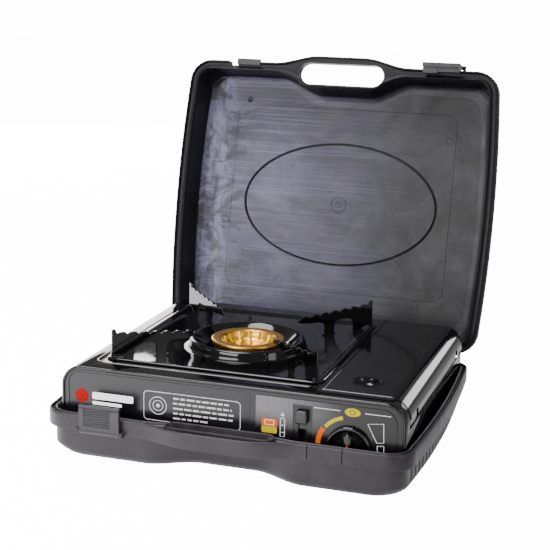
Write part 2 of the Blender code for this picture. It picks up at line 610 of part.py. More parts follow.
wire_path = [(87.4, -100, 40), (70, -100, 40), (20, -80, 28), (-30, -45, 26), (-40, 0, 28), (-38, 34, 34), (ex, ey, 48), (ex, ey, 56.1)]
cu = bpy.data.curves.new("igniter_wire", "CURVE")
cu.dimensions = "3D"
sp = cu.splines.new("POLY")
sp.points.add(len(wire_path) - 1)
for p, q in zip(sp.points, wire_path):
    p.co = (q[0] * MM, q[1] * MM, q[2] * MM, 1)
cu.bevel_depth = 1.1 * MM
cu.bevel_resolution = 2
cu.use_fill_caps = True
dress(bpy.data.objects.new("igniter_wire", cu), WIRE)

# ---- pan support --------------------------------------------------------------


def soft_square(theta, hx_, hy_, r):
    """Distance from the centre to a rounded rectangle, in one direction."""
    c, s = abs(math.cos(theta)), abs(math.sin(theta))
    lo, hi = 0.0, 300.0
    for _ in range(40):
        m = (lo + hi) / 2
        x, y = m * c, m * s
        dx, dy = max(x - (hx_ - r), 0), max(y - (hy_ - r), 0)
        inside = x <= hx_ and y <= hy_ and dx * dx + dy * dy <= r * r
        lo, hi = (m, hi) if inside else (lo, m)
    return lo


def plate_ring(half, z, corner, blend, n=44):
    """blend 0 is the square edge, 1 is a circle of radius half."""
    ring = []
    for k in range(n):
        th = 2 * math.pi * (k + 0.5) / n
        sq = soft_square(th, half, half + PLATE_LONG, corner)
        d = sq + (half - sq) * blend
        ring.append((BX + d * math.cos(th), BY + d * math.sin(th), z))
    return ring


PLATE = [  # half width, height, corner, blend: the middle of the sheet, outer edge to collar
    (110.0, 90.8, 10, 0),
    (109.3, 92.1, 10, 0),
    (107.6, 92.6, 9, 0),
    (105.9, 91.7, 8, 0),
    (103.6, 89.6, 8, 0),
    (101.5, 87.8, 10, 0),
    (96.0, 86.3, 14, 0),
    (80.0, 85.4, 20, 1),
    (69.0, 87.0, 20, 1),
    (62.0, 91.4, 20, 1),
    (COLLAR_R, 92.7, 20, 1),
    (56.4, 91.6, 20, 1),
    (55.4, 88.0, 20, 1),
    (55.2, 84.0, 20, 1),
]


def both_sides(line, t):
    """The sheet's two faces, offset across the line of its middle."""
    up, down = [], []
    for i, (h, z, c, b) in enumerate(line):
        a, e = line[max(i - 1, 0)], line[min(i + 1, len(line) - 1)]
        dx, dz = e[0] - a[0], e[1] - a[1]
        k = t / 2 / math.hypot(dx, dz)
        up.append((h + dz * k, z - dx * k, c, b))
        down.append((h - dz * k, z + dx * k, c, b))
    return up, down[::-1]


top_side, low_side = both_sides(PLATE, 1.0)
plate_rings = [plate_ring(*p) for p in top_side + low_side]
loft("pan_support_plate", plate_rings, ENAMEL, ring_closed=True, origin=(BX, BY, 90), smooth=40)


def arm_profile():
    """(distance from the burner axis, height): toothed top edge, two legs, a window."""
    pts = [(ARM_OUT, 93.6), (ARM_OUT, ARM_PEAK), (ARM_OUT - 4.5, ARM_PEAK), (ARM_OUT - 5.5, ARM_TOP_OUT)]
    n = 7
    for i in range(n):
        a = ARM_OUT - 5.5 + (ARM_IN - ARM_OUT + 5.5) * (i + 0.82) / n
        b = ARM_OUT - 5.5 + (ARM_IN - ARM_OUT + 5.5) * (i + 1.0) / n
        za = ARM_TOP_OUT + (ARM_TOP_IN - ARM_TOP_OUT) * (i + 0.82) / n
        zb = ARM_TOP_OUT + (ARM_TOP_IN - ARM_TOP_OUT) * (i + 1.0) / n
        pts += [(a, za + 0.5), (a - 0.6, za - 1.4), (b, zb)]
    pts += [(58.5, 105.5), (61, 103.2), (70, 102.0), (86, 101.5)]
    pts += [(90.5, 98.5), (91, 86.6), (102, 86.6), (102.4, 97.5), (105.5, 102.2), (126, 103.2), (131, 99.5), (132, 88.2)]
    pts += [(135.5, 89.4), (139, 91.6), (141.5, 93.4)]
    return pts


for name, angle in (("fr", -45), ("br", 45), ("bl", 135), ("fl", -135)):
    outline("support_arm_" + name, arm_profile(), "y", -ARM_T / 2, ARM_T / 2, ENAMEL, turn=math.radians(angle), at=(BX, BY))
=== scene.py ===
import json
import math
import random

import bmesh
import bpy
from mathutils import Matrix, Vector


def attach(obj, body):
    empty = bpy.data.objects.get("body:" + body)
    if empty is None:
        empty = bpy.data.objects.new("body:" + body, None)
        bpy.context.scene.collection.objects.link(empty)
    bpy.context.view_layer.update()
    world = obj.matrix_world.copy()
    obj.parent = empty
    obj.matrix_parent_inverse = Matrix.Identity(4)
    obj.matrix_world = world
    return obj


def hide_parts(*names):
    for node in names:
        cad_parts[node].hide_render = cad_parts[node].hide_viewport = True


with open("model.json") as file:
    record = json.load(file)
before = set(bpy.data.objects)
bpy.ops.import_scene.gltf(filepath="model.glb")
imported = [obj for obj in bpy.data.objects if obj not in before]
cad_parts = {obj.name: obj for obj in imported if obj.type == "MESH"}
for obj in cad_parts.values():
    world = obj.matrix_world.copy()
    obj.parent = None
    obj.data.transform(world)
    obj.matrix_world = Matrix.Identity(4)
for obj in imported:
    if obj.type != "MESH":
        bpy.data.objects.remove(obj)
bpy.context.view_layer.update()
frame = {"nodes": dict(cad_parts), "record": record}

NODES = frame["nodes"]
MM = 0.001
random.seed(7)

# sizes, in millimetres, the same as the CAD
CASE_FRONT, CASE_REAR, CASE_HALF_W, CASE_BOW, CASE_CORNER = -157.6, 158.0, 187.5, 5.0, 26.0
TRAY_X, LID_X, TRAY_RIM, TRAY_SKIRT = -3.5, -0.5, 47.0, 31.0
HINGE = Vector((LID_X, 162.5, 47.0))
OPEN = Matrix.Rotation(-math.radians(102.5), 4, "X")
BX, BY = -28.5, 0.0
PANEL_Y = -140.0
KX, KZ, KNOB_R = 118.0, 43.0, 21.5


# ---- materials ----------------------------------------------------------------
def tree(name):
    m = bpy.data.materials.new(name)
    m.use_nodes = True
    nt = m.node_tree
    return m, nt, nt.nodes["Principled BSDF"]


def coords(nt, scale=(1, 1, 1), rot=(0, 0, 0)):
    t = nt.nodes.new("ShaderNodeTexCoord")
    p = nt.nodes.new("ShaderNodeMapping")
    p.inputs["Scale"].default_value = scale
    p.inputs["Rotation"].default_value = rot
    nt.links.new(t.outputs["Object"], p.inputs["Vector"])
    return p.outputs["Vector"]


def noise(nt, vec, scale, detail=4.0, rough=0.55, distort=0.0):
    n = nt.nodes.new("ShaderNodeTexNoise")
    n.inputs["Scale"].default_value = scale
    n.inputs["Detail"].default_value = detail
    n.inputs["Roughness"].default_value = rough
    n.inputs["Distortion"].default_value = distort
    nt.links.new(vec, n.inputs["Vector"])
    return n.outputs["Fac"]


def ramp(nt, fac, stops):
    r = nt.nodes.new("ShaderNodeValToRGB")
    e = r.color_ramp.elements
    while len(e) < len(stops):
        e.new(0.5)
    for el, (pos, col) in zip(e, stops):
        el.position = pos
        el.color = (*col, 1.0) if len(col) == 3 else col
    nt.links.new(fac, r.inputs["Fac"])
    return r.outputs["Color"]


def spread(nt, fac, lo, hi, a=0.3, b=0.7):
    r = nt.nodes.new("ShaderNodeMapRange")
    r.inputs["From Min"].default_value = a
    r.inputs["From Max"].default_value = b
    r.inputs["To Min"].default_value = lo
    r.inputs["To Max"].default_value = hi
    nt.links.new(fac, r.inputs["Value"])
    return r.outputs["Result"]


def mixed(nt, fac, a, b, kind="MIX"):
    m = nt.nodes.new("ShaderNodeMix")
    m.data_type = "RGBA"
    m.blend_type = kind
    for sock, val in (("A", a), ("B", b)):
        s = [i for i in m.inputs if i.name == sock and i.type == "RGBA"][0]
        if isinstance(val, tuple):
            s.default_value = (*val, 1.0)
        else:
            nt.links.new(val, s)
    f = [i for i in m.inputs if i.name == "Factor" and i.type == "VALUE"][0]
    if isinstance(fac, (int, float)):
        f.default_value = fac
    else:
        nt.links.new(fac, f)
    return [o for o in m.outputs if o.type == "RGBA"][0]


def bump(nt, shader, height, strength, distance, under=None):
    b = nt.nodes.new("ShaderNodeBump")
    b.inputs["Strength"].default_value = strength
    b.inputs["Distance"].default_value = distance
    nt.links.new(height, b.inputs["Height"])
    if under is not None:
        nt.links.new(under, b.inputs["Normal"])
    nt.links.new(b.outputs["Normal"], shader.inputs["Normal"])
    return b.outputs["Normal"]


def varied(name, rgb, rough, metal=0.0, spread_rgb=0.25, spread_rough=0.25, scale=30.0, grain=1500.0, grain_h=0.15,
           coat=0.0, coat_rough=0.05, spec=0.5, stretch=(1, 1, 1)):
    """A surface whose colour and gloss wander a little, with a fine grain."""
    m, nt, s = tree(name)
    vec = coords(nt, stretch)
    n1 = noise(nt, vec, scale, 5.0, 0.6, 0.3)
    lo = tuple(c * (1 - spread_rgb) for c in rgb)
    hi = tuple(min(c * (1 + spread_rgb), 1.0) for c in rgb)
    nt.links.new(ramp(nt, n1, [(0.3, lo), (0.7, hi)]), s.inputs["Base Color"])
    n2 = noise(nt, vec, scale * 2.3, 6.0, 0.65, 0.8)
    nt.links.new(spread(nt, n2, rough * (1 - spread_rough), rough * (1 + spread_rough)), s.inputs["Roughness"])
    s.inputs["Metallic"].default_value = metal
    s.inputs["Specular IOR Level"].default_value = spec
    if coat:
        s.inputs["Coat Weight"].default_value = coat
        s.inputs["Coat Roughness"].default_value = coat_rough
    if grain_h:
        bump(nt, s, noise(nt, vec, grain, 2.0, 0.5), grain_h, 0.0002)
    return m


def case_material(name, rgb, scuff, rough, streak=0.3, wear_and_edge_highlight=0.0):
    """Moulded polypropylene: grain, flow marks along X, pale scuffs."""
    m, nt, s = tree(name)
    vec = coords(nt)
    flow = noise(nt, coords(nt, (4, 260, 260)), 1.0, 5.0, 0.6, 0.2)
    blot = noise(nt, vec, 17.0, 7.0, 0.68, 1.2)
    rub = noise(nt, coords(nt, (30, 110, 60), (0.2, 0.1, 0.6)), 1.0, 8.0, 0.75, 2.0)
    dark = tuple(c * 0.68 for c in rgb)
    base = ramp(nt, blot, [(0.34, dark), (0.52, rgb), (0.72, tuple(c * 1.3 for c in rgb))])
    base = mixed(nt, spread(nt, flow, 0.0, streak, 0.42, 0.62), base, tuple(c * 1.5 for c in rgb))
    base = mixed(nt, spread(nt, rub, 0.0, scuff, 0.56, 0.7), base, tuple(min(c * 2.6, 1) for c in rgb))
    if wear_and_edge_highlight:
        # slow clouds over the floor; painted highlights along its left and right edges
        cloud = noise(nt, coords(nt, (7, 13, 13)), 1.0, 7.0, 0.7, 0.5)
        base = mixed(nt, spread(nt, cloud, 0.0, 0.8, 0.46, 0.64), base, tuple(c * 2.7 for c in rgb))
        drag = noise(nt, coords(nt, (5, 420, 420), (0.0, 0.05, 0.0)), 1.0, 6.0, 0.7, 0.1)
        base = mixed(nt, spread(nt, drag, 0.0, 0.55, 0.5, 0.66), base, tuple(c * 4.2 for c in rgb))
        t = nt.nodes.new("ShaderNodeTexCoord")
        sep = nt.nodes.new("ShaderNodeSeparateXYZ")
        nt.links.new(t.outputs["Object"], sep.inputs["Vector"])
        side = nt.nodes.new("ShaderNodeMath")
        side.operation = "ABSOLUTE"
        nt.links.new(sep.outputs["X"], side.inputs[0])
        # painted highlight: pale streaks along the floor's left and right edges, where light catches it, broken up by
        # noise
        patch = noise(nt, coords(nt, (60, 22, 22)), 1.0, 6.0, 0.7, 1.0)
        k = nt.nodes.new("ShaderNodeMath")
        k.operation = "MULTIPLY"
        nt.links.new(spread(nt, side.outputs[0], 0.0, wear_and_edge_highlight, 0.132, 0.15), k.inputs[0])
        nt.links.new(spread(nt, patch, 0.0, 1.0, 0.42, 0.62), k.inputs[1])
        base = mixed(nt, k.outputs[0], base, tuple(c * 5.0 for c in rgb))
        smear = noise(nt, coords(nt, (16, 24, 24)), 1.0, 8.0, 0.72, 0.6)
        q = nt.nodes.new("ShaderNodeMath")
        q.operation = "MULTIPLY"
        nt.links.new(spread(nt, side.outputs[0], 0.0, 0.85, 0.085, 0.13), q.inputs[0])
        nt.links.new(spread(nt, smear, 0.0, 1.0, 0.5, 0.58), q.inputs[1])
        base = mixed(nt, q.outputs[0], base, tuple(c * 0.3 for c in rgb))
        # painted light falloff: the floor is painted paler on the left and darker to the right, where less light falls
        painted_light_falloff = ramp(nt, spread(nt, sep.outputs["X"], 0.0, 1.0, -0.15, 0.15), [(0.0, (2.8, 2.8, 2.8)), (0.45, (1.3, 1.3, 1.3)), (0.8, (0.16, 0.16, 0.16))])
        base = mixed(nt, 1.0, base, painted_light_falloff, "MULTIPLY")
    nt.links.new(base, s.inputs["Base Color"])
    nt.links.new(spread(nt, blot, rough * 0.82, rough * 1.25), s.inputs["Roughness"])
    s.inputs["Specular IOR Level"].default_value = 0.5
    g = bump(nt, s, noise(nt, vec, 1900.0, 2.0, 0.5), 0.16, 0.0003)
    bump(nt, s, flow, 0.10, 0.0006, g)
    return m


CASE = case_material("case_plastic_look", (0.034, 0.0295, 0.0375), 0.2, 0.38, 0.14)
CASE.node_tree.nodes["Principled BSDF"].inputs["Specular IOR Level"].default_value = 0.34
LID_SKIN = case_material("lid_plastic_look", (0.006, 0.0057, 0.0085), 0.3, 0.42, 0.2)
LID_SKIN.node_tree.nodes["Principled BSDF"].inputs["Specular IOR Level"].default_value = 0.26
LID_FLOOR = case_material("lid_floor_look", (0.023, 0.0205, 0.034), 0.5, 0.44, 0.4, 0.8)
LATCH = varied("latch_plastic_look", (0.03, 0.027, 0.033), 0.42, spread_rgb=0.2, scale=60, grain=2500)
ENAMEL = varied("black_enamel_look", (0.0022, 0.0022, 0.0027), 0.085, spread_rgb=0.3, spread_rough=0.35, scale=14, grain=420,
                grain_h=0.014)
PAINT = varied("black_paint_look", (0.007, 0.0055, 0.009), 0.22, scale=20, grain=900, grain_h=0.03)
KNOB = varied("knob_plastic_look", (0.003, 0.003, 0.0035), 0.14, scale=80, grain=2600, grain_h=0.04)
BRASS = varied("brass_bowl_look", (0.98, 0.54, 0.05), 0.36, 1.0, 0.14, 0.35, 90, 1500, 0.08)
BRASS_RING = varied("brass_ring_look", (0.66, 0.35, 0.075), 0.34, 1.0, 0.22, 0.25, 140, 1800, 0.2)
CAST = varied("cast_metal_look", (0.4, 0.4, 0.41), 0.48, 1.0, 0.2, 0.2, 90, 1200, 0.4)
STEEL = varied("plated_steel_look", (0.5, 0.5, 0.51), 0.32, 1.0, 0.14, 0.25, 40, 1400, 0.08, stretch=(1, 6, 1))
RUBBER = varied("rubber_look", (0.018, 0.018, 0.018), 0.75, scale=80, grain=900, grain_h=0.3)
CERAMIC = varied("ceramic_look", (0.74, 0.72, 0.67), 0.28, spread_rgb=0.06, scale=120)
WIRE = varied("wire_cover_look", (0.42, 0.06, 0.04), 0.45, scale=120)
INK_WHITE = varied("ink_white", (0.93, 0.92, 0.93), 0.4, spread_rgb=0.04, scale=300, grain_h=0.03)
# painted light: this white ink is given its own emission so it glows brighter than lit ink
INK_GLOWING_WHITE = varied("ink_glowing_white", (0.95, 0.95, 0.95), 0.4, spread_rgb=0.02, scale=300, grain_h=0.03)
INK_GLOWING_WHITE.node_tree.nodes["Principled BSDF"].inputs["Emission Color"].default_value = (1, 1, 1, 1)
INK_GLOWING_WHITE.node_tree.nodes["Principled BSDF"].inputs["Emission Strength"].default_value = 1.2
INK_YELLOW = varied("ink_yellow", (0.74, 0.6, 0.0), 0.4, spread_rgb=0.05, scale=300, grain_h=0.03)
INK_ORANGE = varied("ink_orange", (1.0, 0.15, 0.0), 0.35, spread_rgb=0.05, scale=300, grain_h=0.03)
INK_RED = varied("ink_red", (0.5, 0.003, 0.002), 0.4, spread_rgb=0.05, scale=300, grain_h=0.03)
INK_BLACK = varied("ink_black", (0.012, 0.012, 0.013), 0.3, spread_rgb=0.1, scale=300, grain_h=0.03)


for ink in (INK_WHITE, INK_GLOWING_WHITE, INK_YELLOW, INK_ORANGE, INK_RED):
    ink.node_tree.nodes["Principled BSDF"].inputs["Specular IOR Level"].default_value = 0.12


def label_material():
    """Printed film: silver grey at its left end, black to the right and below."""
    m, nt, s = tree("printed_film_look")
    t = nt.nodes.new("ShaderNodeTexCoord")
    sep = nt.nodes.new("ShaderNodeSeparateXYZ")
    nt.links.new(t.outputs["Object"], sep.inputs["Vector"])
    across = spread(nt, sep.outputs["X"], 1.0, 0.0, 0.05, 0.112)
    upper = spread(nt, sep.outputs["Z"], 0.0, 1.0, 0.052, 0.07)
    k = nt.nodes.new("ShaderNodeMath")
    k.operation = "MULTIPLY"
    nt.links.new(across, k.inputs[0])
    nt.links.new(upper, k.inputs[1])
    base = mixed(nt, k.outputs[0], (0.004, 0.004, 0.005), (0.2, 0.19, 0.205))
    fine = noise(nt, coords(nt, (900, 30, 30)), 1.0, 3.0, 0.5)
    base = mixed(nt, spread(nt, fine, 0.0, 0.07), base, (0.02, 0.02, 0.022))
    nt.links.new(base, s.inputs["Base Color"])
    nt.links.new(spread(nt, fine, 0.2, 0.32), s.inputs["Roughness"])
    return m


FILM = label_material()


# ---- ways to make a piece -------------------------------------------------------
def piece(name, bm, mat, body, smooth=32, closed_lid=False, hides=()):
    if closed_lid:
        h = HINGE * MM
        bmesh.ops.transform(bm, matrix=Matrix.Translation(h) @ OPEN @ Matrix.Translation(-h), verts=bm.verts)
    me = bpy.data.meshes.new(name)
    bmesh.ops.recalc_face_normals(bm, faces=bm.faces)
    bm.to_mesh(me)
    bm.free()
    ob = bpy.data.objects.new(name, me)
    bpy.context.scene.collection.objects.link(ob)
    if mat:
        me.materials.append(mat)
    if smooth:
        me.shade_smooth()
        me.set_sharp_from_angle(angle=math.radians(smooth))
    if body:
        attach(ob, body)
    if hides:
        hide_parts(*hides)
    return ob


def soften(ob, width, segments=2, angle=35):
    m = ob.modifiers.new("soft_edges", "BEVEL")
    m.width = width * MM
    m.segments = segments
    m.limit_method = "ANGLE"
    m.angle_limit = math.radians(angle)
    m.harden_normals = False
    return ob


def loft_bm(rings, closed=False, caps=True):
    bm = bmesh.new()
    rows = [[bm.verts.new(Vector(p) * MM) for p in ring] for ring in rings]
    n = len(rows[0])
    for a, b in zip(rows, rows[1:] + (rows[:1] if closed else [])):
        for k in range(n):
            j = (k + 1) % n
            bm.faces.new((a[k], a[j], b[j], b[k]))
    if caps and not closed:
        bm.faces.new(rows[0][::-1])
        bm.faces.new(rows[-1])
    return bm


def arc(cx, cy, r, a0, a1, n):
    return [
        (cx + r * math.cos(math.radians(a0 + (a1 - a0) * k / n)), cy + r * math.sin(math.radians(a0 + (a1 - a0) * k / n)))
        for k in range(n + 1)
    ]


def rounded(x0, x1, y0, y1, r, n=6):
    return (arc(x1 - r, y0 + r, r, -90, 0, n) + arc(x1 - r, y1 - r, r, 0, 90, n)
            + arc(x0 + r, y1 - r, r, 90, 180, n) + arc(x0 + r, y0 + r, r, 180, 270, n))


def stadium(cx, half, y0, y1, n=10):
    r = (y1 - y0) / 2
    return arc(cx + half - r, (y0 + y1) / 2, r, -90, 90, n) + arc(cx - half + r, (y0 + y1) / 2, r, 90, 270, n)


def prism_bm(points, axis, lo, hi):
    put = {"x": lambda p, t: (t, p[0], p[1]), "y": lambda p, t: (p[0], t, p[1]), "z": lambda p, t: (p[0], p[1], t)}[axis]
    return loft_bm([[put(p, t) for p in points] for t in (lo, hi)])


def box_bm(x0, x1, y0, y1, z0, z1):
    return prism_bm([(x0, y0), (x1, y0), (x1, y1), (x0, y1)], "z", z0, z1)


def join_bm(*parts):
    out = bmesh.new()
    for b in parts:
        me = bpy.data.meshes.new("tmp")
        b.to_mesh(me)
        b.free()
        out.from_mesh(me)
        bpy.data.meshes.remove(me)
    return out


def tube_bm(path, r, n=8, closed=False):
    """A round tube along points in millimetres."""
    pts = [Vector(p) for p in path]
    rings = []
    last = None
    for i, p in enumerate(pts):
        a = pts[i - 1] if (i or closed) else p
        b = pts[(i + 1) % len(pts)] if (i + 1 < len(pts) or closed) else p
        d = (b - a).normalized()
        if last is None:
            side = d.cross(Vector((0, 0, 1)))
            if side.length < 1e-3:
                side = d.cross(Vector((0, 1, 0)))
        else:
            side = last - d * last.dot(d)
        side.normalize()
        last = side
        up = d.cross(side)
        rings.append([p + side * r * math.cos(2 * math.pi * k / n) + up * r * math.sin(2 * math.pi * k / n) for k in range(n)])
    return loft_bm(rings, closed)


def turned_bm(profile, cx, cy, n=96, closed=False, radius=None):
    """profile is (radius, height); radius(r, z, angle) may change each point."""
    rings = []
    for r, z in profile:
        ring = []
        for k in range(n):
            a = 2 * math.pi * k / n
            q = radius(r, z, a) if radius else r
            ring.append((cx + q * math.cos(a), cy + q * math.sin(a), z))
        rings.append(ring)
    return loft_bm(rings, closed)


def boolean(ob, tool_bm, op="DIFFERENCE", closed_lid=False):
    tool = piece("tool", tool_bm, None, None, smooth=None, closed_lid=closed_lid)
    m = ob.modifiers.new("b", "BOOLEAN")
    m.operation = op
    m.solver = "EXACT"
    m.object = tool
    bpy.context.view_layer.update()
    me = bpy.data.meshes.new_from_object(ob.evaluated_get(bpy.context.evaluated_depsgraph_get()))
    ob.modifiers.remove(m)
    old = ob.data
    ob.data = me
    me.name = old.name
    bpy.data.meshes.remove(old)
    tm = tool.data
    bpy.data.objects.remove(tool, do_unlink=True)
    bpy.data.meshes.remove(tm)


def resmooth(ob, angle=32):
    ob.data.shade_smooth()
    ob.data.set_sharp_from_angle(angle=math.radians(angle))


def chaikin(rows, width=1.1, times=2):
    """Rounds the corners of a polyline of tuples; the first value pair is its (z, inset) place."""
    for _ in range(times):
        out = [rows[0]]
        for i in range(1, len(rows) - 1):
            p, q, r = rows[i - 1], rows[i], rows[i + 1]
            d1 = math.dist(p[:2], q[:2]) or 1e-6
            d2 = math.dist(r[:2], q[:2]) or 1e-6
            f1, f2 = min(width / d1, 0.34), min(width / d2, 0.34)
            out.append(tuple(a + (b - a) * f1 for a, b in zip(q, p)))
            out.append(tuple(a + (b - a) * f2 for a, b in zip(q, r)))
        out.append(rows[-1])
        rows = out
        width *= 0.45
    return rows


# ---- case halves -----------------------------------------------------------------
GX = [110, 95, 84, 80, 76, 72, 68, 64, 60, 56, 52, 48, 44, 40, 36, 32, 28, 24, 18, 12, 6]
GX = [-x for x in GX] + [0] + GX[::-1]


def grip(x):
    x = abs(x)
    if x <= 26:
        return 1.0
    if x >= 80:
        return 0.0
    return 0.5 * (1 + math.cos(math.pi * (x - 26) / 54))


def case_ring(cx, z, inset, bulge, corner):
    r = corner
    yf, yr = CASE_FRONT + inset, CASE_REAR - inset
    we = CASE_HALF_W - CASE_BOW - inset
    pts = [(x, yf - bulge * grip(x)) for x in [-(we - r), -125] + GX + [125, we - r]]
    half, mid = (yr - yf) / 2 - r, (yr + yf) / 2
    side = [(we + CASE_BOW * (1 - t * t), mid + t * half) for t in [k / 9 for k in range(-9, 10)]]
    pts += arc(we - r, yf + r, r, -90, 0, 14)[1:-1] + side + arc(we - r, yr - r, r, 0, 90, 14)[1:-1]
    pts += [((we - r) * t / 6, yr) for t in range(6, -7, -1)]
    pts += arc(-(we - r), yr - r, r, 90, 180, 14)[1:-1] + [(-x, y) for x, y in side[::-1]]
    pts += arc(-(we - r), yf + r, r, 180, 270, 14)[1:-1]
    return [(x + cx, y, z) for x, y in pts]


def case_rows(rows):
    full = [(z, i, b, c if c else max(CASE_CORNER - i, 6.0)) for z, i, b, c in rows]
    return chaikin(full, 0.9, 2)


TRAY = [
    (0.0, 18.5, -20, 30), (2.2, 11.6, -20, 30), (6.9, 7.6, -20, 28), (12.0, 6.5, -20, None), (28.0, 6.5, -19, None),
    (31.0, 6.5, -6.5, None), (31.0, 0.6, 12, None), (32, 0.0, 12, None), (46, 0.0, 12, None), (47, 1.0, 12, None),
    (47, 2.2, 12, None), (43.5, 2.4, 12, None), (43.5, 5.6, -6.5, None), (47, 5.8, -6.5, None), (47, 8.2, -6.5, None),
    (33.5, 9.0, -6.5, None), (29.5, 9.0, -19, None), (13.0, 9.5, -20, None), (6.0, 12.5, -20, 26), (3.0, 20.0, -20, 26),
]
tray = piece("case_tray_look", loft_bm([case_ring(TRAY_X, *r) for r in case_rows(TRAY)]), CASE, "case")
# the finger opening, with the collar that stands round it
hole = stadium(TRAY_X, 52.0, -160.8, -146.4)
collar = [stadium(TRAY_X, 52.0 + d, -160.8 - e, -146.4 + e) for d, e in ((0, 0), (2.2, 2.0))]
rim = loft_bm([[(x, y, z) for x, y in ring] for ring, z in ((collar[1], 40.0), (collar[1], 47.6), ([(a * .7 + c * .3, b * .7 + d * .3) for (a, b), (c, d) in zip(collar[1], collar[0])], 48.4), ([(a * .3 + c * .7, b * .3 + d * .7) for (a, b), (c, d) in zip(collar[1], collar[0])], 48.4), (collar[0], 47.7), (collar[0], 40.0))], True)
boolean(tray, prism_bm(hole, "z", 22, 60))
boolean(tray, rim, "UNION")
boolean(tray, join_bm(box_bm(82.5, 83.5, -159.5, -155.8, 34, 50), box_bm(115.5, 116.5, -159.5, -155.8, 34, 50)))
# upright grooves low on both end walls
cuts = []
for sx in (1, -1):
    for k in range(13):
        y = -122 + 13.6 * k
        t = (y - 0.2) / 131.0
        x = TRAY_X + sx * (CASE_HALF_W - CASE_BOW - 6.5 + CASE_BOW * (1 - t * t) + 0.3)
        cuts.append(tube_bm([(x, y, 8.6), (x, y, 29.2)], 1.9, 10))
boolean(tray, join_bm(*cuts))
# lugs that carry the latch pins, and the hinge barrels
lugs = [box_bm(a, b, -164.2, -156.6, 31.3, 36.2) for a, b in ((-145.1, -142.3), (-100.2, -97.4))]
boolean(tray, join_bm(*lugs), "UNION")


def knuckle_bm(x0, x1, low):
    y, z, r = 162.5, 47.0, 3.8
    if low:
        pts = arc(y, z, r, 0, 180, 24) + [(y - r, 46.6), (156.8, 46.6), (156.8, z - r), (y, z - r)] + arc(y, z, r, -90, 0, 10)[1:-1]
    else:
        pts = arc(y, z, r, 180, 360, 24) + arc(y, z, r, 0, 90, 10)[1:] + [(156.8, z + r), (156.8, 47.7), (y - r, 47.7)]
    return prism_bm(pts, "x", x0, x1)


boolean(tray, join_bm(*[knuckle_bm(hx + a, hx + b, True) for hx in (-120, 120) for a, b in ((-15.6, -7.9), (7.9, 15.6))]), "UNION")
boolean(tray, join_bm(*[tube_bm([(hx - 20, 162.5, 47), (hx + 20, 162.5, 47)], 1.95, 24) for hx in (-120, 120)]))
resmooth(tray, 34)
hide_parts("case_tray")

LID = [
    (95.3, 26.5, -18, 30), (92.9, 17.5, -17, 28), (86.3, 10.9, -16, 26), (77.3, 8.5, -15.6, None), (63.5, 8.5, -15.6, None),
    (63.5, 0.6, 9.5, None), (62.5, 0.0, 9.5, None), (48.3, 0.0, 9.5, None), (47.3, 1.0, 9.5, None), (47.3, 2.6, 9.5, None),
    (50.3, 2.8, 9.5, None), (50.3, 8.2, -15.4, None), (47.6, 8.4, -15.4, None), (47.6, 10.4, -15.4, None),
    (60.0, 10.6, -16, None), (80.0, 11.2, -17, None), (88.5, 14.0, -18.5, 22), (91.5, 18.0, -19.5, 22), (92.3, 24.0, -19.5, 22),
]
lid = piece("case_lid_look", loft_bm([case_ring(LID_X, *r) for r in case_rows(LID)]), LID_SKIN, "lid", closed_lid=True)
boolean(lid, prism_bm(stadium(LID_X, 50.5, -159.3, -134.5), "z", 40, 72), closed_lid=True)
boolean(lid, box_bm(-137, -125.5, -161, -152.5, 42, 72), closed_lid=True)
FZ = 92.3  # the floor of the lid, drawn closed
ell = [(-0.5 + 116 * math.cos(2 * math.pi * k / 128), 0.5 + 71 * math.sin(2 * math.pi * k / 128), FZ) for k in range(128)]
marks = [tube_bm(ell, 1.5, 8, True)]
for cx, cy, r, w in ((-0.5, 0.5, 9.0, 0.55), (-0.5, 0.5, 3.2, 0.3), (-121, -118, 4.2, 0.45), (-140, 28, 4.6, 0.45), (124, -82, 4.2, 0.45), (-66, 96, 4.2, 0.45), (100, 110, 4.2, 0.45)):
    marks.append(tube_bm([(cx + r * math.cos(2 * math.pi * k / 40), cy + r * math.sin(2 * math.pi * k / 40), FZ) for k in range(40)], w, 6, True))
frame_line = rounded(-134, 132, -112, 104, 12, 6)
marks.append(tube_bm([(x, y, FZ) for x, y in frame_line], 0.4, 6, True))
boolean(lid, join_bm(*marks), closed_lid=True)
# a lip round the finger opening, then lugs and hinge knuckles
lip = []
for d in (0.0, 2.6):
    lip.append(stadium(LID_X, 50.5 + d, -159.3 - d, -134.5 + d))
rimz = [(lip[1], 50.0), (lip[1], 48.3), ([(a * .7 + c * .3, b * .7 + d * .3) for (a, b), (c, d) in zip(*lip[::-1])], 47.7),
        ([(a * .3 + c * .7, b * .3 + d * .7) for (a, b), (c, d) in zip(*lip[::-1])], 47.7), (lip[0], 48.3), (lip[0], 51.0), (lip[1], 51.0)]
lip_bm = loft_bm([[(x, y, z) for x, y in ring] for ring, z in rimz[:6]], True)
boolean(lid, lip_bm, "UNION", closed_lid=True)
lugs = [box_bm(a, b, -164.2, -156.6, 57.8, 62.7) for a, b in ((93.4, 96.2), (138.3, 141.1))]
boolean(lid, join_bm(*lugs), "UNION", closed_lid=True)
boolean(lid, join_bm(*[knuckle_bm(hx - 7.6, hx + 7.6, False) for hx in (-120, 120)]), "UNION", closed_lid=True)
boolean(lid, join_bm(*[tube_bm([(hx - 20, 162.5, 47), (hx + 20, 162.5, 47)], 1.95, 24) for hx in (-120, 120)]), closed_lid=True)
lid.data.materials.append(LID_FLOOR)
back = (Matrix.Translation(HINGE * MM) @ OPEN @ Matrix.Translation(-HINGE * MM)).inverted()
for p in lid.data.polygons:
    c = back @ p.center
    n = back.to_3x3() @ p.normal
    if 0.0865 < c.z < 0.0935 and n.z < -0.25:
        p.material_index = 1
resmooth(lid, 34)
for p in lid.data.polygons:
    if p.material_index == 1 and (back.to_3x3() @ p.normal).z < -0.97:
        p.use_smooth = False
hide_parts("case_lid")
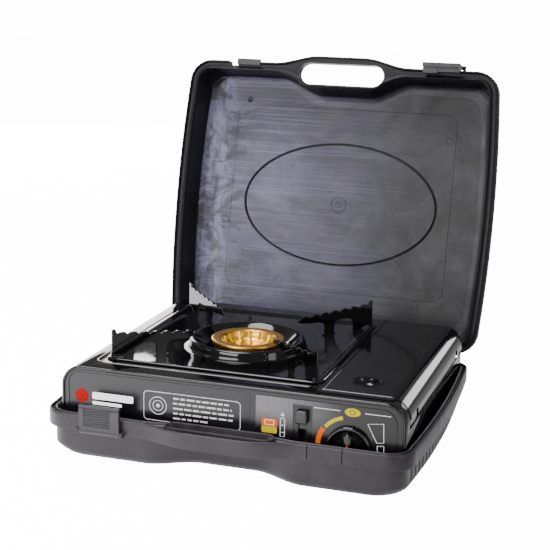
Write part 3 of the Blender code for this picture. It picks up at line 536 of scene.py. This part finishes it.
seat = [(-160.3, 48.6), (-160.3, 46.5), (-159.8, 46.1), (-153.6, 46.1), (-153.1, 46.6), (-153.1, 48.6)]
catch = piece("lid_catch_seat", prism_bm(seat, "x", -125.5, -97.0), LATCH, "lid", 30, closed_lid=True)
soften(catch, 0.25, 2)


# ---- latches ----------------------------------------------------------------------
def latch(name, x0, x1, upside_down, body, node):
    flip = (lambda z: 94 - z) if upside_down else (lambda z: z)
    pts = [(-160.6, 57.0), (-159.2, 57.6), (-159.2, 59.3), (-162.8, 60.1), (-163.6, 59.3)]
    z = 57.5
    while z > 39.5:  # finger grooves
        pts += [(-163.6, z), (-163.0, z - 0.35), (-163.0, z - 0.75), (-163.6, z - 1.1)]
        z -= 1.75
    pts += [(-163.6, 38.2)] + [(a, b) for a, b in arc(-162.1, 33.5, 2.4, 130, 410, 26)]
    bm = prism_bm([(y, flip(zz)) for y, zz in pts], "x", x0, x1)
    ob = piece(name, bm, LATCH, body, 30, closed_lid=upside_down)
    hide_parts(node)
    if upside_down:  # the hook block on the inner side, deeper over its left part
        for k, (a, b, low) in enumerate(((x0, x0 + 17.0, -151.6), (x0 + 17.0, x1, -153.2))):
            hook = [(-159.4, 36.9), (low - 0.6, 36.9), (low, 37.6), (low, 42.6), (low - 2.2, 46.2), (-159.4, 46.8)]
            hk = piece("%s_hook_%d" % (name, k), prism_bm(hook, "x", a, b), LATCH, body, 30, closed_lid=True)
            soften(hk, 0.25, 2)
    # plain end strips
    for i, (a, b) in enumerate(((x0 - 0.0, x0 + 5.0), (x1 - 9.0, x1))):
        pts = [(-163.2, 56.8), (-163.85, 56.4), (-163.85, 38.8), (-163.2, 38.2)]
        st = piece("%s_strip_%d" % (name, i), prism_bm([(y, flip(zz)) for y, zz in pts], "x", a, b), LATCH, body, 30, closed_lid=upside_down)
        soften(st, 0.18, 2)
    return ob


latch("tray_latch_look", -142.0, -100.5, False, "tray_latch", "tray_latch")
latch("lid_latch_look", 96.5, 138.0, True, "lid_latch", "lid_latch")

# ---- stove: shell -------------------------------------------------------------------
HALF, RADIUS, CORNER, REAR = 170.6, 20.0, 7.0, 144.0


def arch(out, z_low, n=20, half=HALF, top=90.0, r=RADIUS):
    h, t, rr = half - out, top - out, r - out
    return [(-h, z_low), (-h, z_low + 8)] + arc(-(h - rr), t - rr, rr, 180, 90, n) + arc(h - rr, t - rr, rr, 90, 0, n) + [(h, z_low + 8), (h, z_low)]


def shell_section(y, pull=0.0):
    """The arch at one depth; near the rear its corners round off in plan."""
    return [(x, y, z) for x, z in arch(pull, 50)]


outer, inner = [], []
stations = [(-140.4, 0.9), (-140.1, 0.35), (-139.4, 0.0), (-60, 0), (0, 0), (60, 0), (REAR - CORNER, 0)]
for k in range(1, 9):
    a = math.pi / 2 * k / 8
    stations.append((REAR - CORNER + CORNER * math.sin(a), CORNER * (1 - math.cos(a)) * 0.35))
for y, pull in stations:
    outer.append(shell_section(y, pull))
rings = []
for y, pull in stations:
    a, b = arch(pull, 50), arch(1.5 + pull, 50)[::-1]
    rings.append([(x, y, z) for x, z in a + b])
shell = piece("top_shell_look", loft_bm(rings), ENAMEL, "stove")
plan = [(-180, -150), (180, -150), (180, REAR - CORNER), (HALF, REAR - CORNER)] + arc(HALF - CORNER, REAR - CORNER, CORNER, 0, 90, 10)[1:]
plan += arc(-(HALF - CORNER), REAR - CORNER, CORNER, 90, 180, 10) + [(-180, REAR - CORNER)]
boolean(shell, prism_bm(plan, "z", 40, 100), "INTERSECT")
boolean(shell, prism_bm(rounded(BX - 105.5, BX + 105.5, -108, 108, 8), "z", 80, 95))
boolean(shell, box_bm(83.6, 180, -126.8, 137.8, 62.5, 95))
resmooth(shell, 30)
soften(shell, 0.35, 2, 40)
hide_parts("top_shell")
# pressed step round the pan support, and the bead round the front edge
step = rounded(BX - 116.5, BX + 109.5, -120.5, 118, 10, 8)
bead = tube_bm([(x, y, 89.75) for x, y in step], 1.1, 10, True)
piece("shell_step_bead", bead, ENAMEL, "stove")
edge = [(x, -139.9, z) for x, z in arch(1.5, 50)]
piece("front_edge_bead", tube_bm(edge, 1.7, 12), ENAMEL, "stove")

# ---- stove: front face ----------------------------------------------------------------
panel_pts = ([(-156, 20), (-161, 25), (-166.2, 46), (-168.7, 52)] + arc(-150.6, 70, 18.1, 180, 90, 16) + arc(150.6, 70, 18.1, 90, 0, 16)
             + [(168.7, 52), (166.2, 46), (161, 25), (156, 20), (90, 20), (90, 36), (-92, 36), (-92, 20)])
panel = piece("front_panel_look", prism_bm(panel_pts, "y", -140.0, -138.6), PAINT, "stove")
inset = [(-163, 38), (22, 38)] + arc(15, 77.5, 7, 0, 90, 8) + arc(-152, 73, 11.5, 90, 180, 10)
boolean(panel, prism_bm(inset, "y", -145, -139.35))
boolean(panel, join_bm(box_bm(69.3, 77.3, -145, -130, 43, 74), tube_bm([(KX, -145, KZ), (KX, -130, KZ)], 4.2, 32)))
resmooth(panel, 30)
soften(panel, 0.3, 2, 40)
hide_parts("front_panel")

NODES["control_label"].data.materials.clear()
NODES["control_label"].data.materials.append(FILM)


# printed marks: thin raised films on the front
def print_flat(name, pts, mat, y=-141.0, t=0.12):
    return piece(name, prism_bm(pts, "y", y, y + t), mat, "stove", None)


def print_line(name, pts, w, mat, y=-141.0, closed=False, t=0.12):
    """A line of width w along points (x, z)."""
    n = len(pts)
    left, right = [], []
    for i, (x, z) in enumerate(pts):
        a = pts[i - 1] if (i or closed) else pts[i]
        b = pts[(i + 1) % n] if (i + 1 < n or closed) else pts[i]
        dx, dz = b[0] - a[0], b[1] - a[1]
        q = math.hypot(dx, dz) or 1
        nx, nz = -dz / q * w / 2, dx / q * w / 2
        left.append((x + nx, z + nz))
        right.append((x - nx, z - nz))
    bm = bmesh.new()
    rows = []
    for (lx, lz), (rx, rz) in zip(left, right):
        rows.append([bm.verts.new(Vector(p) * MM) for p in ((lx, y, lz), (rx, y, rz), (rx, y + t, rz), (lx, y + t, lz))])
    for a, b in zip(rows, rows[1:] + (rows[:1] if closed else [])):
        for k in range(4):
            bm.faces.new((a[k], a[(k + 1) % 4], b[(k + 1) % 4], b[k]))
    if not closed:
        bm.faces.new(rows[0][::-1])
        bm.faces.new(rows[-1])
    return piece(name, bm, mat, "stove", None)


FY = -139.47  # prints in the recess
print_line("info_box_line", rounded(-85, 12.5, 45, 73.5, 4, 5), 0.7, INK_WHITE, FY, True)
print_line("info_ring_outer", arc(-70.5, 60, 8.6, 0, 360, 40)[:-1], 0.8, INK_WHITE, FY, True)
print_line("info_ring_inner", arc(-70.5, 60, 5.0, 0, 360, 32)[:-1], 0.7, INK_WHITE, FY, True)
print_flat("info_dot", arc(-70.5, 60, 1.9, 0, 360, 20)[:-1], INK_WHITE, FY)
for k, (a, b) in enumerate(((-55, 1), (-55, 4), (-55, 6), (-55, 5), (-55, -20))):
    z = 69.0 - 4.9 * k
    x = a
    while x < b:
        w = random.uniform(4, 10)
        print_flat("info_line_%d_%d" % (k, int(x + 60)), rounded(x, min(x + w, b), z - 0.85, z + 0.85, 0.3, 2), INK_WHITE, FY)
        x += w + 1.5
# a plain maker's-mark stand-in: a red disc and two white bars
print_flat("mark_disc", arc(-150, 60.5, 7.0, 0, 360, 40)[:-1], INK_RED, FY)
print_flat("mark_bar_long", rounded(-139, -96, 58.4, 65.4, 1.6, 5), INK_GLOWING_WHITE, FY)
print_flat("mark_bar_short", rounded(-139, -108, 53.0, 56.2, 1.2, 4), INK_GLOWING_WHITE, FY)

LY = -141.02
print_flat("warn_red", rounded(34, 49, 54.5, 62, 1.2, 4), INK_ORANGE, LY)
print_flat("warn_yellow", rounded(34, 49, 48, 54.2, 1.2, 4), INK_YELLOW, LY)
print_line("warn_window", rounded(37, 46, 56, 60.5, 0.6, 3), 0.8, INK_WHITE, LY - 0.05, True)
can = [(52.2, 46), (52.2, 62)] + arc(54.3, 62, 2.1, 180, 0, 8) + [(56.4, 46)]
print_line("can_outline", can, 0.8, INK_WHITE, LY, True)
print_line("can_band_low", [(52.6, 50), (56, 50)], 0.7, INK_WHITE, LY)
print_line("can_band_high", [(52.6, 57), (56, 57)], 0.7, INK_WHITE, LY)
print_flat("can_arrow", [(52.0, 66), (56.6, 66), (54.3, 69.5)], INK_WHITE, LY)
print_line("rule_left", [(84, 78), (109, 78)], 0.7, INK_WHITE, LY)
print_line("rule_right", [(132, 78), (156, 78)], 0.7, INK_WHITE, LY)
oval = [(120.5 + 7.4 * math.cos(2 * math.pi * k / 40), 77.6 + 3.9 * math.sin(2 * math.pi * k / 40)) for k in range(40)]
print_flat("zero_oval", oval, INK_YELLOW, LY)
print_line("zero_ring", [(120.5 + 2.6 * math.cos(2 * math.pi * k / 28), 77.6 + 2.1 * math.sin(2 * math.pi * k / 28)) for k in range(28)], 0.8, INK_BLACK, LY - 0.06, True)
print_line("arc_yellow", arc(KX, KZ, 29.0, 103, 142, 16), 3.4, INK_YELLOW, LY)
print_line("arc_orange", arc(KX, KZ, 29.5, 146, 178, 14), 4.6, INK_ORANGE, LY)
print_line("wedge_big", [(134.9, 68.4), (149.6, 70.3), (150.3, 52.3), (143.9, 51.4)], 0.8, INK_WHITE, LY, True)
print_line("wedge_small", [(144.3, 48.6), (150.6, 49.2), (150.6, 42.5), (144.8, 42.2)], 0.8, INK_WHITE, LY, True)


# ---- cartridge cover ------------------------------------------------------------------
def cover_section(grow):
    o = arc(150.6, 70, 20.4 + grow, 90, 0, 24)
    i = arc(150.6, 70, 19.2, 90, 0, 24)[::-1]
    return [(84.0 - grow * 0, 90.4 + grow)] + o + [(171.0 + grow, 66), (169.8, 66)] + i + [(84.0, 89.2)]


cover = piece("cartridge_cover_look", prism_bm(cover_section(0), "y", -126.4, 137.4), ENAMEL, "cover")
boolean(cover, prism_bm(arc(120, -87, 12.8, 0, 360, 64)[:-1], "z", 80, 100))
for a, b in ((-99.5, -91.5), (101.5, 109.5)):
    boolean(cover, box_bm(164, 175, a - 0.4, b + 0.4, 60, 73.5))
for a, b in ((-120.0, -100.0), (110.0, 130.0)):
    pts = arc(167.0, 68.0, 2.4, 60, 300, 14) + [(170.4, 66.6), (170.4, 69.4)]
    boolean(cover, prism_bm(pts, "y", a, b), "UNION")
boolean(cover, tube_bm([(167.0, -130, 68.0), (167.0, 140, 68.0)], 1.25, 20))
resmooth(cover, 30)
soften(cover, 0.4, 3, 40)
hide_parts("cartridge_cover")
lipr = [(12.3, 90.0), (12.7, 90.75), (13.6, 91.1), (14.8, 91.0), (15.8, 90.5), (15.8, 90.42), (12.3, 90.42)][:6] + [(12.5, 90.42)]
piece("finger_ring", turned_bm(lipr, 120, -87, 64, True), ENAMEL, "cover")
cup = [(0.6, 83.6), (3, 83.6), (7.5, 84.2), (9.4, 85.3), (10.8, 87.2), (11.8, 89.6), (12.3, 89.9), (12.5, 89.4), (12.4, 88.2), (11.4, 85.9), (7.9, 83.2), (3, 82.7), (0.6, 82.7)]
piece("finger_cup_look", turned_bm(cup, 120, -87, 64), ENAMEL, "cover", hides=("finger_cup",))
ridge = [(86.2, 90.45), (166, 90.45)]
piece("cover_front_bead", tube_bm([(86.5, -123.5, 90.3), (150.6, -123.5, 90.3)] + [(x, -123.5, z) for x, z in arc(150.6, 70, 20.3, 88, 4, 14)], 0.8, 10), ENAMEL, "cover")
piece("cover_side_bead", tube_bm([(87.0, -123.5, 90.3), (87.0, 134.5, 90.3)], 0.8, 10), ENAMEL, "cover")

# ---- knob and lever ---------------------------------------------------------------------
dial = [(0.5, -1.5), (KNOB_R - 0.6, -1.5), (KNOB_R, -2.1), (KNOB_R, -3.6), (KNOB_R - 0.4, -4.5), (KNOB_R - 1.2, -5.1), (KNOB_R - 2.2, -5.3),
        (KNOB_R - 3.0, -5.1), (KNOB_R - 4.2, -4.2), (KNOB_R - 5.2, -3.7), (10, -3.5), (0.5, -3.5)]
rings = []
for r, d in dial:
    rings.append([(KX + (r * math.cos(2 * math.pi * k / 120)) * (1 - (0.012 if (k % 4 < 2 and r > KNOB_R - 0.7) else 0)),
                   PANEL_Y + d,
                   KZ + (r * math.sin(2 * math.pi * k / 120)) * (1 - (0.012 if (k % 4 < 2 and r > KNOB_R - 0.7) else 0))) for k in range(120)])
knob = piece("control_knob_look", loft_bm(rings), KNOB, "knob", 28, hides=("control_knob",))
bar = []
for s, w, d in ((1.0, 1.0, -143.2), (1.0, 1.0, -146.4), (0.985, 0.93, -147.4), (0.95, 0.8, -148.0), (0.88, 0.55, -148.3)):
    bar.append([(KX + x * w, d, KZ + z * s) for z, x in stadium(0, 15.5, -4.2, 4.2, 12)])
piece("knob_grip_look", loft_bm(bar), KNOB, "knob", 40)
bm = prism_bm([(KX - 1.6, KZ + 1.0), (KX + 1.6, KZ + 1.0), (KX, KZ + 5.6)], "y", -148.42, -148.25)
piece("knob_pointer", bm, INK_ORANGE, "knob", None)
lever_rings = []
for gx, gz, y in ((-1.3, -1.4, -146.2), (-0.6, -0.7, -146.0), (-0.15, -0.2, -145.4), (0, 0, -144.6), (0, 0, -141.5), (-2.4, -2.2, -141.4), (-2.4, -2.2, -138.4)):
    lever_rings.append([(x, y, z) for x, z in rounded(73.3 - 5.6 - gx, 73.3 + 5.6 + gx, 61.7 - gz, 74.2 + gz, 1.4, 6)])
piece("lever_look", loft_bm(lever_rings), KNOB, "lever", 35, hides=("cartridge_lever",))
piece("lever_ridges", join_bm(*[tube_bm([(69.6, -146.1, z), (77.0, -146.1, z)], 0.35, 8) for z in (65, 67, 69, 71)]), KNOB, "lever")

# ---- burner ---------------------------------------------------------------------------------
TEETH = 56


def toothed(r, z, a):
    if r > 33 and z < 91.9:
        f = (a * TEETH / (2 * math.pi)) % 1.0
        k = 1.0 if f < 0.5 else 0.0
        return r - 3.2 * k
    return r


ring = [(33.5, 88.1), (28.4, 88.3), (27.9, 89.2), (27.75, 90.6), (27.9, 92.5), (28.3, 94.0), (28.9, 94.6), (31.5, 95.15), (34.5, 95.2),
        (36.6, 95.0), (37.4, 94.5), (37.8, 93.6), (37.8, 92.4), (37.7, 91.9), (37.2, 91.2), (37.2, 89.2), (36.4, 88.4)]
head = piece("burner_head_look", turned_bm(ring, BX, BY, TEETH * 8, True, toothed), BRASS_RING, "stove", 30, hides=("burner_head",))
RIBS = 14


def ribbed(r, z, a):
    if r > 20:
        w = max(0.0, math.cos(RIBS * a)) ** 6
        return r - 1.7 * w * min((r - 20) / 5, 1)
    return r


cup = [(0.6, 83.4), (8, 83.4), (14, 83.8), (19, 84.4), (21.8, 85.2), (23.8, 86.6), (25.2, 88.6), (26.0, 91.0), (26.5, 93.4), (26.9, 93.9), (27.3, 93.7),
       (27.4, 93.0), (27.2, 91.0), (26.6, 88.4), (24.8, 85.6), (22.2, 83.7), (8, 82.3), (0.6, 82.3)]
outer_cup = lambda r, z, a: ribbed(r, z, a)
piece("burner_cup_look", turned_bm(cup, BX, BY, RIBS * 24, False, lambda r, z, a: ribbed(r, z, a) if (r, z) in cup[:10] else r), BRASS, "stove", 50, hides=("burner_cup",))
screw = [(0.3, 86.4), (2.4, 86.3), (3.6, 85.7), (4.2, 85.0), (4.2, 83.8), (0.3, 83.8)]
piece("burner_screw_look", turned_bm(screw, BX, BY, 40), STEEL, "stove", 40, hides=("burner_screw",))


# ---- pan support -------------------------------------------------------------------------------
def soft_square(theta, hx, hy, r):
    c, s = abs(math.cos(theta)), abs(math.sin(theta))
    lo, hi = 0.0, 300.0
    for _ in range(34):
        m = (lo + hi) / 2
        x, y = m * c, m * s
        dx, dy = max(x - (hx - r), 0), max(y - (hy - r), 0)
        ok = x <= hx and y <= hy and dx * dx + dy * dy <= r * r
        lo, hi = (m, hi) if ok else (lo, m)
    return lo


def plate_ring(half, z, corner, blend, n=184):
    out = []
    for k in range(n):
        th = 2 * math.pi * (k + 0.5) / n
        sq = soft_square(th, half, half + 2.5, corner)
        d = sq + (half - sq) * blend
        out.append((BX + d * math.cos(th), BY + d * math.sin(th), z))
    return out


PLATE = [(110.0, 90.8, 10, 0), (109.3, 92.1, 10, 0), (107.6, 92.6, 9, 0), (105.9, 91.9, 8, 0), (103.6, 90.4, 8, 0), (101.0, 89.3, 10, 0),
         (96.0, 88.3, 14, 0.0), (89.0, 87.0, 18, 0.5), (80.0, 85.5, 20, 1), (70.0, 85.2, 20, 1), (62.4, 85.5, 20, 1), (60.4, 87.2, 20, 1), (59.4, 93.2, 20, 1), (58.4, 95.2, 20, 1),
         (56.6, 95.7, 20, 1), (54.6, 94.8, 20, 1), (47.6, 88.4, 20, 1), (44.5, 86.0, 20, 1), (43.2, 84.8, 20, 1)]
line = chaikin(PLATE, 3.0, 2)
up, down = [], []
for i, (h, z, c, b) in enumerate(line):
    p, q = line[max(i - 1, 0)], line[min(i + 1, len(line) - 1)]
    dx, dz = q[0] - p[0], q[1] - p[1]
    k = 0.5 / (math.hypot(dx, dz) or 1)
    up.append((h + dz * k, z - dx * k, c, b))
    down.append((h - dz * k, z + dx * k, c, b))
plate = piece("pan_support_plate_look", loft_bm([plate_ring(*p) for p in up + down[::-1]], True), ENAMEL, "pan_support", 45, hides=("pan_support_plate",))


def arm_profile():
    pts = [(149.0, 93.6), (149.0, 119.0), (148.6, 119.5), (145.2, 119.5), (144.5, 118.8), (144.1, 116.0), (143.5, 115.2)]
    n = 7
    for i in range(n):
        for f, dz in ((0.1, 0.3), (0.28, 1.15), (0.48, 1.55), (0.68, 1.35), (0.82, 0.6), (0.9, -0.9), (0.96, -1.1), (1.0, -0.4)):
            a = 143.5 + (60 - 143.5) * (i + f) / n
            z = 115.0 + (108.0 - 115.0) * (i + f) / n
            pts.append((a, z + dz))
    pts += [(58.9, 106.8), (58.5, 105.5), (59.4, 104.0), (61, 103.2), (70, 102.0), (83, 101.8), (86.5, 101.2), (89.2, 99.8), (90.5, 97.5), (91, 86.6), (102, 86.6),
            (102.2, 96.5), (103.0, 99.6), (104.8, 101.8), (107.5, 102.5), (118.5, 102.8), (122.6, 101.8), (124.9, 99.3), (125.6, 95), (126, 88.6), (131, 88.6), (135.5, 89.4), (139, 91.6), (141.5, 93.4)]
    return pts


for name, angle in (("fr", -45), ("br", 45), ("bl", 135), ("fl", -135)):
    ux, uy = math.cos(math.radians(angle)), math.sin(math.radians(angle))
    rings = [[(BX + ux * d - uy * s, BY + uy * d + ux * s, z) for d, z in arm_profile()] for s in (-1.05, 1.05)]
    arm = piece("support_arm_%s_look" % name, loft_bm(rings), ENAMEL, "pan_support", 30, hides=("support_arm_" + name,))
    soften(arm, 0.45, 3, 35)
    # welded foot under each leg
    feet = []
    for d0, d1 in ((88.5, 104.5), (131.0, 149.5)):
        feet.append(tube_bm([(BX + ux * d0, BY + uy * d0, 87.3 if d0 < 120 else 93.0), (BX + ux * d1, BY + uy * d1, 87.3 if d0 < 120 else 93.4)], 1.1, 10))
    piece("support_weld_" + name, join_bm(*feet), ENAMEL, "pan_support", 40)

# ---- nodes that keep their own shape ----------------------------------------------------------------
LOOKS = {
    "plated_steel": STEEL, "rubber": RUBBER, "black_enamel": ENAMEL, "black_paint": PAINT, "knob_plastic": KNOB,
    "cast_metal": CAST, "brass": BRASS_RING, "ceramic": CERAMIC, "wire_cover": WIRE, "case_plastic": CASE, "grey_label": FILM,
}
for sub in frame["record"]["subparts"]:
    ob = NODES[sub["node"]]
    ob.data.materials.clear()
    ob.data.materials.append(KNOB if sub["node"] == "lever_slider" else LOOKS[sub["material_slot"]])
    if not ob.hide_render:
        ob.data.shade_smooth()
        ob.data.set_sharp_from_angle(angle=math.radians(32))

# ---- floor, light, camera -------------------------------------------------------------------------------
bm = bmesh.new()
bmesh.ops.create_grid(bm, x_segments=1, y_segments=1, size=6.0)
floor_m, nt, s = tree("studio_floor")
n = noise(nt, coords(nt), 3.0, 2.0)
paper = ramp(nt, n, [(0.2, (0.93, 0.93, 0.93)), (0.8, (0.96, 0.96, 0.96))])
where = nt.nodes.new("ShaderNodeTexCoord")
axes = nt.nodes.new("ShaderNodeSeparateXYZ")
nt.links.new(where.outputs["Object"], axes.inputs["Vector"])
nt.links.new(mixed(nt, spread(nt, axes.outputs["X"], 0.0, 0.75, 0.05, 0.3), paper, (0.08, 0.08, 0.08)), s.inputs["Base Color"])
s.inputs["Roughness"].default_value = 0.9
s.inputs["Specular IOR Level"].default_value = 0.1
s.inputs["Emission Color"].default_value = (1, 1, 1, 1)
seen = nt.nodes.new("ShaderNodeLightPath")
glow = nt.nodes.new("ShaderNodeMapRange")
glow.inputs["To Min"].default_value = 0.0
glow.inputs["To Max"].default_value = 14.0
nt.links.new(seen.outputs["Is Camera Ray"], glow.inputs["Value"])
sheen = nt.nodes.new("ShaderNodeMath")
sheen.operation = "MULTIPLY_ADD"
nt.links.new(seen.outputs["Is Glossy Ray"], sheen.inputs[0])
place = nt.nodes.new("ShaderNodeTexCoord")
split = nt.nodes.new("ShaderNodeSeparateXYZ")
nt.links.new(place.outputs["Object"], split.inputs["Vector"])
nt.links.new(spread(nt, split.outputs["X"], 3.4, 0.1, -0.45, 0.3), sheen.inputs[1])
nt.links.new(glow.outputs["Result"], sheen.inputs[2])
nt.links.new(sheen.outputs[0], s.inputs["Emission Strength"])
floor = bpy.data.objects.new("studio_floor", bpy.data.meshes.new("studio_floor"))
bm.to_mesh(floor.data)
bm.free()
floor.data.materials.append(floor_m)
floor.location.z = -0.0002
bpy.context.scene.collection.objects.link(floor)

world = bpy.data.worlds.new("studio")
bpy.context.scene.world = world
world.use_nodes = True
wn = world.node_tree
bg = wn.nodes["Background"]
bg.inputs["Color"].default_value = (1, 1, 1, 1)
lp = wn.nodes.new("ShaderNodeLightPath")
mr = wn.nodes.new("ShaderNodeMapRange")
mr.inputs["To Min"].default_value = 0.3
mr.inputs["To Max"].default_value = 15.0
wn.links.new(lp.outputs["Is Camera Ray"], mr.inputs["Value"])
wn.links.new(mr.outputs["Result"], bg.inputs["Strength"])


def area(name, at, look, sx, sy, power, colour=(1, 1, 1)):
    li = bpy.data.lights.new(name, "AREA")
    li.shape = "RECTANGLE"
    li.size, li.size_y, li.energy, li.color = sx, sy, power, colour
    ob = bpy.data.objects.new(name, li)
    ob.location = at
    ob.rotation_euler = (Vector(look) - Vector(at)).to_track_quat("-Z", "Y").to_euler()
    ob.visible_camera = False
    bpy.context.scene.collection.objects.link(ob)
    return ob


area("soft_top", (-0.4, -0.33, 1.7), (-0.02, 0.0, 0.1), 1.1, 0.85, 36)
area("soft_front", (-0.7, -2.0, 0.75), (0, 0, 0.15), 1.4, 0.7, 26)
area("soft_back_left", (-1.6, 1.9, 0.7), (0, 0, 0.1), 1.4, 1.0, 34, (1.0, 0.97, 0.93))
area("soft_back_right", (0.8, 1.9, 0.5), (0.1, 0, 0.08), 0.4, 0.5, 3.5)
area("soft_right", (1.5, -0.8, 0.5), (0.1, 0, 0.05), 0.7, 0.9, 6)

az, el, roll = math.radians(17.57), math.radians(13.33), math.radians(1.23)
d = Vector((-math.sin(az) * math.cos(el), math.cos(az) * math.cos(el), -math.sin(el)))
r = d.cross(Vector((0, 0, 1))).normalized()
u = r.cross(d)
rp = r * math.cos(roll) + u * math.sin(roll)
up_v = -r * math.sin(roll) + u * math.cos(roll)
cam = bpy.data.objects.new("photo_camera", bpy.data.cameras.new("photo_camera"))
cam.data.lens, cam.data.sensor_width = 86.62, 36.0
cam.data.clip_start, cam.data.clip_end = 0.05, 50
m4 = Matrix((rp, up_v, -d)).transposed().to_4x4()
m4.translation = (0.39401, -1.24644, 0.4733)
bpy.context.scene.collection.objects.link(cam)
cam.matrix_world = m4
bpy.context.scene.camera = cam
bpy.context.view_layer.update()
